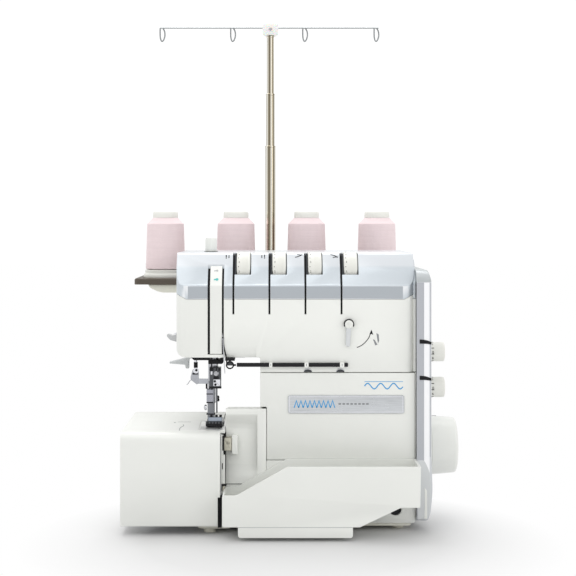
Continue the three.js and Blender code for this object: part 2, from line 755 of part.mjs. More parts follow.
// The stadium around both pulleys, grown by a margin.
function beltLoop(margin, extraWidth) {
  const across = [MOTOR_AT[0] - SHAFT_AT[0], MOTOR_AT[1] - SHAFT_AT[1]];
  const distance = Math.hypot(...across);
  const heading = Math.atan2(across[1], across[0]);
  const lean = Math.acos((DRIVE_PULLEY_RADIUS - MOTOR_PULLEY_RADIUS) / distance);
  const shape = new THREE.Shape();
  shape.absarc(...SHAFT_AT, DRIVE_PULLEY_RADIUS + margin, heading + lean, heading - lean + 2 * Math.PI);
  shape.absarc(...MOTOR_AT, MOTOR_PULLEY_RADIUS + margin, heading - lean, heading + lean);
  shape.closePath();
  const depth = PULLEY_X[1] - PULLEY_X[0] + 2 * extraWidth;
  const geometry = new THREE.ExtrudeGeometry(shape, { depth, bevelEnabled: false, curveSegments: 14 });
  geometry.translate(0, 0, PULLEY_X[0] - extraWidth);
  geometry.applyMatrix4(PLANES.x);
  return toSolid(geometry);
}

// ---------------------------------------------------------------- tension dials
function addTensionDials() {
  for (let i = 0; i < DIAL_COUNT; i += 1) {
    const ends = [dialX(i) - DIAL_WIDTH / 2, dialX(i) + DIAL_WIDTH / 2];
    const dial = revolve('x', DIAL_AXIS, [
      [TENSION_SHAFT_RADIUS + GAP, ends[0]],
      [DIAL_RADIUS - 0.6, ends[0]],
      [DIAL_RADIUS, ends[0] + 0.6],
      [DIAL_RADIUS, ends[1] - 0.6],
      [DIAL_RADIUS - 0.6, ends[1]],
      [TENSION_SHAFT_RADIUS + GAP, ends[1]],
      [TENSION_SHAFT_RADIUS + GAP, ends[0]],
    ], 36);
    addPiece(`tension_dial_${i + 1}`, 'whitePlastic', dial);
  }
  const [y, z] = DIAL_AXIS;
  const halfDepth = 6.5;
  const footZ = [226, 229];
  const bracket = [
    [y - halfDepth, z + 5.5, 3],
    [y - halfDepth, footZ[0]],
    [110, footZ[0]],
    [110, footZ[1]],
    [y + halfDepth, footZ[1]],
    [y + halfDepth, z + 5.5, 3],
  ];
  const left = dialX(0) - DIAL_WIDTH / 2 - 8;
  const right = dialX(DIAL_COUNT - 1) + DIAL_WIDTH / 2 + 8;
  const shaft = join(
    rod('x', DIAL_AXIS, [left, right], TENSION_SHAFT_RADIUS, 20),
    prism('x', bracket, [left - 1, left + 2], 2),
    prism('x', bracket, [right - 2, right + 1], 2),
  );
  addPiece('tension_shaft', 'steel', shaft);
}

// ---------------------------------------------------------------- front controls
function addFrontControls() {
  const pivot = [75, 210.1];
  const arm = [
    [pivot[0] - 2.2, pivot[1]],
    [pivot[0] - 3.2, pivot[1] - 22, 2],
    [pivot[0] + 1.4, pivot[1] - 23, 2],
    [pivot[0] + 2.4, pivot[1]],
  ];
  const lever = join(
    rod('y', pivot, [15, BODY_FRONT - GAP], 5.2, 24),
    prism('y', arm, [15.6, 18.6]),
  );
  addPiece('threader_lever', 'whitePlastic', lever);
  const knob = revolve('z', PRESSURE_KNOB_AT, [
    [0, 262],
    [PRESSURE_KNOB_RADIUS - 0.2, 262],
    [PRESSURE_KNOB_RADIUS, 294],
    [PRESSURE_KNOB_RADIUS - 0.9, 297],
    [0, 297.8],
  ], 28);
  addPiece('pressure_knob', 'whitePlastic', knob);
  const rail = box([-38.8, 74], [15.7, BODY_FRONT - GAP], [166.8, 170.8]);
  addPiece('looper_guide_rail', 'blackPlastic', rail);
}

// ---------------------------------------------------------------- needle and presser
function addNeedleBar() {
  const clampZ = [142, 163];
  const [x, y] = NEEDLE_BAR_AT;
  addPiece('needle_bar', 'steel', rod('z', NEEDLE_BAR_AT, [150 + GAP, 246], 3));
  const clamp = cut(
    prism('z', [
      [x - 6, y - 7, 1.5],
      [x + 6, y - 7, 1.5],
      [x + 6, y + 6, 1],
      [x - 6, y + 6, 1],
    ], clampZ, 3),
    rod('z', NEEDLE_BAR_AT, [150, clampZ[1] + 1], 3 + GAP),
  );
  addPiece('needle_clamp', 'darkSteel', clamp);
  const shankZ = [126, clampZ[0] - GAP];
  const needle = (centre) => join(
    rod('z', centre, shankZ, 1, 12),
    rod('z', centre, [NEEDLE_TIP_Z + 4, shankZ[0]], 0.55, 12),
    rod('z', centre, [NEEDLE_TIP_Z, NEEDLE_TIP_Z + 4], 0.12, 12, 0.55),
  );
  addPiece('needle_left', 'steel', needle([x - NEEDLE_SPACING / 2, y - 1.4]));
  addPiece('needle_right', 'steel', needle([x + NEEDLE_SPACING / 2, y + 1.4]));
}

function addPresser() {
  const [x, y] = PRESSER_BAR_AT;
  const ankleTop = 125;
  addPiece('presser_bar', 'steel', rod('z', PRESSER_BAR_AT, [ankleTop + GAP, 262], 3.2));
  const soleZ = 103.8;
  const sole = [
    [29.5, soleZ + 5.4],
    [31, soleZ + 1, 1],
    [36, soleZ, 2],
    [74, soleZ],
    [74, soleZ + 3],
    [36.5, soleZ + 3, 2],
    [30.6, soleZ + 6],
  ];
  const foot = cut(
    join(
      prism('x', sole, [-71, -54]),
      box([x - 3.6, x + 3.6], [y - 4.4, y + 5], [soleZ + 2, ankleTop]),
    ),
    box([-65.8, -58.2], [44.5, 55.5], [soleZ - 1, soleZ + 4]),
  );
  addPiece('presser_foot', 'darkSteel', foot);
}

function addPresserLifter() {
  const lever = [
    [-80, 183, 2],
    [-93, 172, 2],
    [-96, 167.5],
    [-113.8, 163, 0.6],
    [-113.8, 161.4, 0.6],
    [-97, 160],
    [-96.2, 156, 1],
    [-92.8, 156, 1],
    [-92.4, 166],
    [-76, 174, 2],
    [-72, 180, 2],
    [-74, 184, 2],
  ];
  addPiece('presser_lifter', 'greyPlastic', prism('y', lever, [97, 105]));
}

function addNeedleThreader() {
  const at = [-82.5, 52];
  const holder = join(
    rod('z', at, [158, 196], 1.6, 16),
    prism('y', [
      [-87, 161.5, 2],
      [-87, 151, 1],
      [-84, 145, 1],
      [-69.2, 145.6],
      [-69.2, 150.6],
      [-78, 151.4],
      [-78.4, 161.5, 2],
    ], [48, 55]),
  );
  addPiece('needle_threader', 'steel', holder);
}

// ---------------------------------------------------------------- stitch forming parts
const FEED_RAIL_X = [-69, -55.5];

function addNeedlePlate() {
  const slot = (x) => box([x - 2.2, x + 2.2], [40, 74], [90, CLOTH_Z + 1]);
  const plate = cut(
    box(PLATE_X, PLATE_Y, [CLOTH_Z - PLATE_THICKNESS, CLOTH_Z]),
    box([-64.8, -59.2], [45.5, 54.5], [90, CLOTH_Z + 1]),
    ...FEED_RAIL_X.map(slot),
  );
  addPiece('needle_plate', 'steel', plate);
}

function feedRail(x) {
  const pitch = 2;
  const from = 44;
  const to = 70;
  const top = CLOTH_Z + 0.4;
  const teeth = [[from, 90], [to, 90], [to, top - 1]];
  for (let y = to; y > from; y -= pitch) {
    teeth.push([y - pitch * 0.3, top]);
    teeth.push([y - pitch, top - 1]);
  }
  return prism('x', teeth, [x - 1.5, x + 1.5]);
}

function addFeedDog() {
  const base = box([FEED_RAIL_X[0] - 1.5, FEED_RAIL_X[1] + 1.5], [59, 72], [88, 94]);
  addPiece('feed_dog', 'steel', join(base, ...FEED_RAIL_X.map(feedRail)));
}

function addLoopers() {
  const lowerPivot = [-20, 40];
  const lowerBlade = [
    [-17, 44],
    [-32, 78, 4],
    [-34, 83, 2],
    [-50, 86.4],
    [-49.6, 87.4],
    [-31, 86, 4],
    [-13, 46],
  ];
  addPiece('lower_looper', 'steel', join(
    prism('y', lowerBlade, [53, 55.2]),
    rod('y', lowerPivot, [51, 72], 6, 20),
  ));
  const upperBlade = [
    [-24, 52],
    [-30, 56],
    [-43.4, 98.8, 0.5],
    [-42.4, 99.6, 0.5],
    [-34, 88, 5],
  ];
  addPiece('upper_looper', 'steel', join(
    prism('y', upperBlade, [57, 59.2]),
    rod('y', [-27, 54], [56.2, 72], 4.4, 20),
  ));
}

function addKnives() {
  addPiece('lower_knife', 'steel', box([PLATE_X[1] + GAP, PLATE_X[1] + 1.8], [36, 46], [84, CLOTH_Z]));
  const blade = prism('x', [
    [34, 104],
    [48, 106.5],
    [48, 118, 1],
    [34, 118, 1],
  ], [PLATE_X[1] + 2.1, PLATE_X[1] + 3.9]);
  addPiece('upper_knife', 'darkSteel', join(
    blade,
    box([PLATE_X[1] + 3, -36], [36, 46], [110, 116]),
    box([-41, -36], [36, 46], [62, 116]),
  ));
}

// ---------------------------------------------------------------- thread stand
function addSpoolPlatform() {
  const [left, right] = PLATFORM_X;
  const [front, back] = PLATFORM_Y;
  const [bottom, top] = PLATFORM_Z;
  const deck = prism('z', [
    [left, front, 6],
    [right, front, 6],
    [right, back, 6],
    [left, back, 6],
  ], [bottom, top]);
  const supports = join(
    prism('y', [
      [left + 16, bottom + 1],
      [left + 18, bottom - 4],
      [left + 30, PLATFORM_SUPPORT_BOTTOM, 6],
      [right - 30, PLATFORM_SUPPORT_BOTTOM, 6],
      [right - 18, bottom - 4],
      [right - 16, bottom + 1],
    ], [front + 4, back - 8]),
    box([-60, 100], [BODY_BACK + GAP, front + 6], [204, bottom + 1]),
  );
  const holders = CONE_X.map((x) => join(
    rod('z', [x, CONE_Y], [top - 1, CONE_BASE_TOP], 24.8, 36, 23.6),
    rod('z', [x, CONE_Y], [top, CONE_TOP - 12], 3.2, 14),
  ));
  addPiece('spool_platform', 'brownPlastic', join(deck, supports, ...holders));
}

function addThreadCones() {
  const bore = 4.6;
  CONE_X.forEach((x, i) => {
    const bottom = CONE_BASE_TOP + GAP;
    const cone = revolve('z', [x, CONE_Y], [
      [bore, bottom],
      [CONE_BODY_RADIUS[0], bottom],
      [CONE_BODY_RADIUS[1], 311.9],
      [CONE_CAP_RADIUS + 0.8, 319.6],
      [CONE_CAP_RADIUS, 320.4],
      [CONE_CAP_RADIUS, CONE_TOP],
      [bore, CONE_TOP],
      [bore, bottom],
    ], 36);
    addPiece(`thread_cone_${i + 1}`, 'thread', cone);
  });
}

function addPole() {
  const names = ['pole_base_tube', 'pole_middle_tube', 'pole_top_tube'];
  names.forEach((name, i) => {
    const from = i === 0 ? PLATFORM_Z[1] + GAP : POLE_TOPS[i - 1] - POLE_OVERLAP;
    const walls = ringProfile(POLE_RADII[i] - POLE_TUBE_WALL, POLE_RADII[i], [from, POLE_TOPS[i]]);
    addPiece(name, 'steel', revolve('z', POLE_AT, walls, 24));
  });
}

function addThreadGuides() {
  const [x, y] = POLE_AT;
  const blockZ = [POLE_TOPS[2] + GAP, 551.3];
  const block = prism('y', [
    [x - 9.3, blockZ[0] + 2, 2],
    [x - 6, blockZ[0], 1],
    [x + 6, blockZ[0], 1],
    [x + 9.3, blockZ[0] + 2, 2],
    [x + 9.3, blockZ[1], 3],
    [x - 9.3, blockZ[1], 3],
  ], [y - 8, y + 8]);
  const half = 1.95;
  const eyelet = (centre) => wire([
    [centre - half, y, GUIDE_WIRE_Z],
    [centre - half, y, GUIDE_WIRE_Z - EYELET_DROP * 0.5],
    [centre - half * 0.8, y, GUIDE_WIRE_Z - EYELET_DROP * 0.85],
    [centre, y, GUIDE_WIRE_Z - EYELET_DROP],
    [centre + half * 0.8, y, GUIDE_WIRE_Z - EYELET_DROP * 0.85],
    [centre + half, y, GUIDE_WIRE_Z - EYELET_DROP * 0.5],
    [centre + half, y, GUIDE_WIRE_Z],
  ], GUIDE_WIRE_RADIUS, 12);
  const reach = [EYELET_X[0] - 3.6, EYELET_X[3] + 3.6];
  const arms = rod('x', [y, GUIDE_WIRE_Z], reach, GUIDE_WIRE_RADIUS, 8);
  addPiece('thread_guide_arms', 'steel', join(block, arms, ...EYELET_X.map(eyelet)));
}

// ---------------------------------------------------------------- assembly
addBase();
addFrame();
addFrontHousing();
addRearArmCover();
addTopCover();
addTakeUpCover();
addRearBaseCover();
addBaseFrontCover();
addChipGuard();
addLooperCover();
addFreeArmCover();
addTrimTray();
addSidePanel();
addSideControls();
addHandwheel();
addDrive();
addTensionDials();
addFrontControls();
addNeedleBar();
addPresser();
addPresserLifter();
addNeedleThreader();
addNeedlePlate();
addFeedDog();
addLoopers();
addKnives();
addSpoolPlatform();
addThreadCones();
addPole();
addThreadGuides();

const centreX = (PLATFORM_X[0] + WHEEL_RIGHT) / 2;
const centreY = (TRAY_FRONT + PLATFORM_Y[1]) / 2;
group.position.set(-centreX, -centreY, 0);

export default group;
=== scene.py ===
import json
import math

import bmesh
import bpy
from mathutils import Matrix, Vector


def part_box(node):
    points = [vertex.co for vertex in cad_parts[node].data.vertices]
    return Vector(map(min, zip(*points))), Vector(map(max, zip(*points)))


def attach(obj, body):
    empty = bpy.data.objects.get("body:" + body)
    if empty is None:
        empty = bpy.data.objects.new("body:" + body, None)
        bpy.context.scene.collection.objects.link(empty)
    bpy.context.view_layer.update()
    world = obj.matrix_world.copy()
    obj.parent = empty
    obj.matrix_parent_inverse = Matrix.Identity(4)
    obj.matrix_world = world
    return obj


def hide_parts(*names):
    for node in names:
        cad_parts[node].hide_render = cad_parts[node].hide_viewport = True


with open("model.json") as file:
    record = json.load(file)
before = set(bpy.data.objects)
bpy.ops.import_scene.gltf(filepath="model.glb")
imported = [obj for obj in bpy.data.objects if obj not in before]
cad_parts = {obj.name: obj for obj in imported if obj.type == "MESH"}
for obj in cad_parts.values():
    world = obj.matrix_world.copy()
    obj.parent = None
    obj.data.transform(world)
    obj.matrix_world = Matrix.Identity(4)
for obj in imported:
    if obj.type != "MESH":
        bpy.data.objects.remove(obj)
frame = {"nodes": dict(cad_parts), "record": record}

MM = 0.001
SPLIT_FROM_ARM = 55  # the drawing's X = 0 lies this far to the right of the free arm cover
arm_low, arm_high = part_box("free_arm_cover")
ZERO = Vector((arm_high.x + SPLIT_FROM_ARM * MM, arm_low.y, 0))
TO_ROW = Matrix.Translation(ZERO) @ Matrix.Scale(MM, 4)
X, Y, Z = Vector((1, 0, 0)), Vector((0, 1, 0)), Vector((0, 0, 1))
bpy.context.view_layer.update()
scene = bpy.context.scene
BODY_OF = {n: b for b, nodes in frame["record"]["behaviour"]["bodies"].items() for n in nodes}


class Span:
    """A CAD node's box in the drawing frame: left, right, front, back, bottom and top, and its middle."""

    def __init__(self, node):
        low, high = [(corner - ZERO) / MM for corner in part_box(node)]
        self.left, self.front, self.bottom = low
        self.right, self.back, self.top = high
        self.x, self.y, self.z = (low + high) / 2
        self.width, self.depth, self.height = high - low


# ---------------------------------------------------------------- camera, lights and floor
ROOM_LIGHT, ROOM_SEEN = 0.82, 1.05  # the white room's strength as a light and as the backdrop
FLOOR_RADIUS = 9  # metres, like the next two
SHADOW_MIDDLE = 0.15  # the shadows show round a point this far in front of the row's origin
FLOOR_FADE = (0.13, 0.24)  # and are lost in white between these distances from it


def place_camera():
    """A long lens a little above the top cover, level, with its frame shifted down to the machine."""
    data = bpy.data.cameras.new("camera")
    data.sensor_width = 36
    data.lens = 78.125
    data.shift_x = 0.0226
    data.shift_y = -0.1094
    data.clip_end = 50
    camera = bpy.data.objects.new("camera", data)
    camera.location = TO_ROW @ Vector((0, -1250, 310.7))
    camera.rotation_euler = (math.radians(90), 0, 0)
    scene.collection.objects.link(camera)
    scene.camera = camera


def area_light(name, at, aim, size, power):
    """A soft box at a point in metres, turned to face another."""
    data = bpy.data.lights.new(name, "AREA")
    data.shape = "RECTANGLE"
    data.size, data.size_y = size
    data.energy = power
    lamp = bpy.data.objects.new(name, data)
    lamp.location = at
    lamp.rotation_euler = (Vector(aim) - Vector(at)).to_track_quat("-Z", "Y").to_euler()
    scene.collection.objects.link(lamp)


def place_lights():
    """Four soft boxes in a pale room, whose walls look a little whiter than the light that they give."""
    middle = (0, 0, 0.2)
    area_light("key_light", (-0.9, -1.5, 2.0), middle, (1.8, 1.4), 9)
    area_light("top_light", (-0.2, 0.6, 2.3), middle, (1.8, 1.2), 26)
    area_light("fill_light", (1.7, -1.4, 1.0), middle, (1.6, 1.4), 7)
    area_light("rim_light", (0.8, 2.2, 1.4), middle, (2.0, 1.2), 4)
    world = bpy.data.worlds.new("studio")
    world.use_nodes = True
    background = world.node_tree.nodes["Background"]
    background.inputs["Color"].default_value = (1, 1, 1, 1)
    background.inputs["Strength"].default_value = ROOM_LIGHT
    clear = world.node_tree.nodes.new("ShaderNodeBackground")
    clear.inputs["Color"].default_value = (1, 1, 1, 1)
    clear.inputs["Strength"].default_value = ROOM_SEEN
    seen = world.node_tree.nodes.new("ShaderNodeLightPath").outputs["Is Camera Ray"]
    mix = world.node_tree.nodes.new("ShaderNodeMixShader")
    links = world.node_tree.links
    links.new(seen, mix.inputs["Fac"])
    links.new(background.outputs["Background"], mix.inputs[1])
    links.new(clear.outputs["Background"], mix.inputs[2])
    links.new(mix.outputs["Shader"], world.node_tree.nodes["World Output"].inputs["Surface"])
    scene.world = world
    scene.view_settings.view_transform = "Standard"


def place_floor():
    bm = bmesh.new()
    bmesh.ops.create_circle(bm, cap_ends=True, radius=FLOOR_RADIUS, segments=96)
    mesh = bpy.data.meshes.new("studio_floor")
    bm.to_mesh(mesh)
    bm.free()
    floor = bpy.data.objects.new("studio_floor", mesh)
    scene.collection.objects.link(floor)
    floor.data.materials.append(plain_floor())


# ---------------------------------------------------------------- materials
class Recipe:
    """A Principled material whose patterns are in object coordinates, so that they ride with their piece."""

    def __init__(self, name, **sockets):
        self.material = bpy.data.materials.new(name)
        self.material.use_nodes = True
        self.nodes = self.material.node_tree.nodes
        self.links = self.material.node_tree.links
        self.shader = self.nodes["Principled BSDF"]
        self.place = self.nodes.new("ShaderNodeTexCoord").outputs["Object"]
        for socket, value in sockets.items():
            self.shader.inputs[socket.replace("_", " ")].default_value = value

    def stretched(self, x, y, z):
        mapping = self.nodes.new("ShaderNodeMapping")
        mapping.inputs["Scale"].default_value = (x, y, z)
        self.links.new(self.place, mapping.inputs["Vector"])
        return mapping.outputs["Vector"]

    def noise(self, scale, detail=2, where=None):
        node = self.nodes.new("ShaderNodeTexNoise")
        node.inputs["Scale"].default_value = scale
        node.inputs["Detail"].default_value = detail
        self.links.new(where or self.place, node.inputs["Vector"])
        return node.outputs["Fac"]

    def rescale(self, value, low, high, start=0.3, end=0.7):
        node = self.nodes.new("ShaderNodeMapRange")
        for socket, number in (("From Min", start), ("From Max", end), ("To Min", low), ("To Max", high)):
            node.inputs[socket].default_value = number
        self.links.new(value, node.inputs["Value"])
        return node.outputs["Result"]

    def blend(self, share, first, second):
        node = self.nodes.new("ShaderNodeMix")
        node.data_type = "RGBA"
        self.links.new(share, node.inputs["Factor"])
        for socket, colour in ((node.inputs[6], first), (node.inputs[7], second)):
            if isinstance(colour, tuple):
                socket.default_value = (*colour, 1)
            else:
                self.links.new(colour, socket)
        return node.outputs[2]

    def above(self, height, spread=0.4):
        """0 below that height in millimetres and 1 above it."""
        parts = self.nodes.new("ShaderNodeSeparateXYZ")
        self.links.new(self.place, parts.inputs["Vector"])
        return self.rescale(parts.outputs["Z"], 0, 1, (height - spread) * MM, (height + spread) * MM)

    def edges(self, start, end):
        """1 on outer edges and 0 on flats, or the other way round in the creases when start is above end."""
        pointiness = self.nodes.new("ShaderNodeNewGeometry").outputs["Pointiness"]
        return self.rescale(pointiness, 0, 1, start, end)

    def drive(self, socket, value):
        self.links.new(value, self.shader.inputs[socket])

    def relief(self, *layers):
        """Bump from (height, depth in millimetres) layers, one on top of the other."""
        below = None
        for height, depth in layers:
            node = self.nodes.new("ShaderNodeBump")
            node.inputs["Distance"].default_value = depth * MM
            self.links.new(height, node.inputs["Height"])
            if below:
                self.links.new(below, node.inputs["Normal"])
            below = node.outputs["Normal"]
        self.links.new(below, self.shader.inputs["Normal"])


def tinted(colour, factor):
    return tuple(min(1, channel * factor) for channel in colour)


def moulded(name, colour, roughness, grain=0.02, edge=1.06, crease=0.8, top=None, **sockets):
    """Moulded plastic: faint clouding, a fine spark-eroded grain, a painted highlight on outer edges and
    painted shade in the creases.
    top is (height, colour) for a part whose upper end is of another colour."""
    recipe = Recipe(name, **sockets)
    clouds = recipe.rescale(recipe.noise(22, 3), 0, 1)
    body = recipe.blend(clouds, tinted(colour, 0.985), tinted(colour, 1.01))
    if top:
        body = recipe.blend(recipe.above(top[0]), body, top[1])
    # painted highlight: outer edges lighter by the edge factor
    edge_highlit = recipe.blend(recipe.edges(0.53, 0.6), body, tinted(colour, edge))
    # painted shade: creases darker by the crease factor
    crease_shaded = recipe.blend(recipe.edges(0.47, 0.38), edge_highlit, tinted(colour, crease))
    recipe.drive("Base Color", crease_shaded)
    recipe.drive("Roughness", recipe.rescale(recipe.noise(60, 3), roughness - 0.05, roughness + 0.06))
    recipe.relief((recipe.noise(30, 1), 0.05), (recipe.noise(2600, 2), grain))
    return recipe.material


def metal(name, colour, roughness, along=(1, 1, 1), scratch=0.004, edge=1.25):
    """Worked metal: lines drawn out along the direction whose scale is small, and a painted highlight on
    outer edges.
    """
    recipe = Recipe(name, Metallic=1.0)
    lines = recipe.noise(1800, 2, recipe.stretched(*along))
    tone = recipe.blend(recipe.rescale(lines, 0, 1), tinted(colour, 0.88), tinted(colour, 1.08))
    # painted highlight: outer edges brighter by the edge factor
    recipe.drive("Base Color", recipe.blend(recipe.edges(0.53, 0.62), tone, tinted(colour, edge)))
    recipe.drive("Roughness", recipe.rescale(recipe.noise(90, 3), roughness - 0.06, roughness + 0.08))
    recipe.relief((lines, scratch))
    return recipe.material


def silver_paint():
    """Silver lacquer with fine flakes under a clear coat, painted lighter on the cover's upper slope where
    top light falls, with a painted highlight on outer edges and painted shade in the creases.
    """
    colour = (0.60, 0.65, 0.69)
    recipe = Recipe("silver_lacquer", Metallic=0.35, Coat_Weight=0.5, Coat_Roughness=0.12)
    flakes = recipe.rescale(recipe.noise(5200, 1), 0, 1, 0.42, 0.6)
    tone = recipe.blend(flakes, tinted(colour, 0.94), tinted(colour, 1.06))
    # painted light: the upper slope above the crease is lighter, as top light falls on it
    tone = recipe.blend(recipe.above(SLOPE_CREASE[1], 1.5), tone, (0.68, 0.71, 0.74))
    # painted highlight on outer edges, then painted shade in the creases
    silver_edge_highlit = recipe.blend(recipe.edges(0.54, 0.62), tone, (0.86, 0.88, 0.9))
    recipe.drive("Base Color", recipe.blend(recipe.edges(0.46, 0.38), silver_edge_highlit, tinted(colour, 0.7)))
    recipe.drive("Roughness", recipe.rescale(flakes, 0.3, 0.42, 0, 1))
    recipe.relief((recipe.noise(40, 1), 0.04), (recipe.noise(5200, 1), 0.004))
    return recipe.material


def thread_winding(name, colour):
    """Spun thread wound criss-cross on its cone: two sets of slanting lines with a fuzzy sheen."""
    recipe = Recipe(name, Roughness=0.8, Sheen_Weight=0.12, Sheen_Roughness=0.5)
    waves = []
    for slant in (0.22, -0.22):
        node = recipe.nodes.new("ShaderNodeTexWave")
        node.bands_direction = "Z"
        node.inputs["Scale"].default_value = 330
        node.inputs["Distortion"].default_value = 2.2
        node.inputs["Detail"].default_value = 2
        node.inputs["Detail Scale"].default_value = 1.5
        mapping = recipe.nodes.new("ShaderNodeMapping")
        mapping.inputs["Rotation"].default_value = (slant, slant * 0.6, 0)
        recipe.links.new(recipe.place, mapping.inputs["Vector"])
        recipe.links.new(mapping.outputs["Vector"], node.inputs["Vector"])
        waves.append(node.outputs["Fac"])
    strands = recipe.blend(waves[0], tinted(colour, 0.9), tinted(colour, 1.05))
    layers = recipe.blend(recipe.rescale(recipe.noise(150, 2, recipe.stretched(0.25, 0.25, 3)), 0, 0.4),
                          strands,
                          tinted(colour, 0.9))
    recipe.drive("Base Color", layers)
    recipe.relief((waves[0], 0.08), (waves[1], 0.06), (recipe.noise(3000, 2), 0.03))
    return recipe.material


def chrome_tube():
    """Drawn and chromed tube: painted reflection bands run along it, dark and light as on a mirror that
    curves.
    """
    recipe = Recipe("chrome_tube", Metallic=1.0)
    centre = recipe.nodes.new("ShaderNodeMapping")
    centre.vector_type = "TEXTURE"
    centre.inputs["Location"].default_value = TO_ROW @ Vector((POLE_AT[0], POLE_AT[1], 0))
    recipe.links.new(recipe.place, centre.inputs["Vector"])
    around = recipe.nodes.new("ShaderNodeTexGradient")
    around.gradient_type = "RADIAL"
    recipe.links.new(centre.outputs["Vector"], around.inputs["Vector"])
    # painted reflection: the ramp's dark, gold and light bands stand for what the curved mirror would show
    bands = recipe.nodes.new("ShaderNodeValToRGB")
    ramp = bands.color_ramp
    dark, gold, light = (0.06, 0.047, 0.03, 1), (0.46, 0.40, 0.28, 1), (0.95, 0.93, 0.86, 1)
    tones = (dark, gold, light, light, gold, dark, gold, light, gold)
    for i in range(BAND_REPEATS * len(tones)):
        place = (i + 0.5) / (BAND_REPEATS * len(tones))
        stop = ramp.elements[i] if i < 2 else ramp.elements.new(place)
        stop.position = place
        stop.color = tones[i % len(tones)]
    recipe.links.new(around.outputs["Fac"], bands.inputs["Fac"])
    lines = recipe.noise(1800, 2, recipe.stretched(1, 1, 0.02))
    tone = recipe.blend(recipe.rescale(lines, 0, 0.16), bands.outputs["Color"], (0.5, 0.46, 0.38))
    recipe.drive("Base Color", tone)
    recipe.drive("Roughness", recipe.rescale(recipe.noise(90, 3), 0.1, 0.2))
    recipe.relief((lines, 0.002))
    return recipe.material


def plain_floor():
    """A matt pale floor that is lost in the white of the studio a step away from the machine."""
    recipe = Recipe("pale_floor", Roughness=0.75, Specular_IOR_Level=0.2)
    clouds = recipe.rescale(recipe.noise(1.5, 2), 0, 1)
    recipe.drive("Base Color", recipe.blend(clouds, (0.66, 0.66, 0.66), (0.67, 0.67, 0.67)))
    centre = recipe.nodes.new("ShaderNodeMapping")
    centre.inputs["Location"].default_value = (0, SHADOW_MIDDLE, 0)
    centre.inputs["Scale"].default_value = (0.9, 1, 1)
    recipe.links.new(recipe.place, centre.inputs["Vector"])
    away = recipe.nodes.new("ShaderNodeVectorMath")
    away.operation = "LENGTH"
    recipe.links.new(centre.outputs["Vector"], away.inputs[0])
    glow = recipe.nodes.new("ShaderNodeEmission")
    mix = recipe.nodes.new("ShaderNodeMixShader")
    recipe.links.new(recipe.rescale(away.outputs["Value"], 0, 1, *FLOOR_FADE), mix.inputs["Fac"])
    recipe.links.new(recipe.shader.outputs["BSDF"], mix.inputs[1])
    recipe.links.new(glow.outputs["Emission"], mix.inputs[2])
    recipe.links.new(mix.outputs["Shader"], recipe.nodes["Material Output"].inputs["Surface"])
    return recipe.material


WHITE = (0.80, 0.81, 0.775)
SLOPE_CREASE, SLOPE_CREST = (32, 268), (42, 282)  # y and z of the ends of the top cover's upper slope
PANEL_SHOULDER = 253  # where the side panel's bevelled top begins
POLE_AT = (-5.4, 250)
BAND_REPEATS = 3  # the chrome's painted reflection bands come this often round the tube
FINISH = {}  # finish name -> (material, the record's slot)


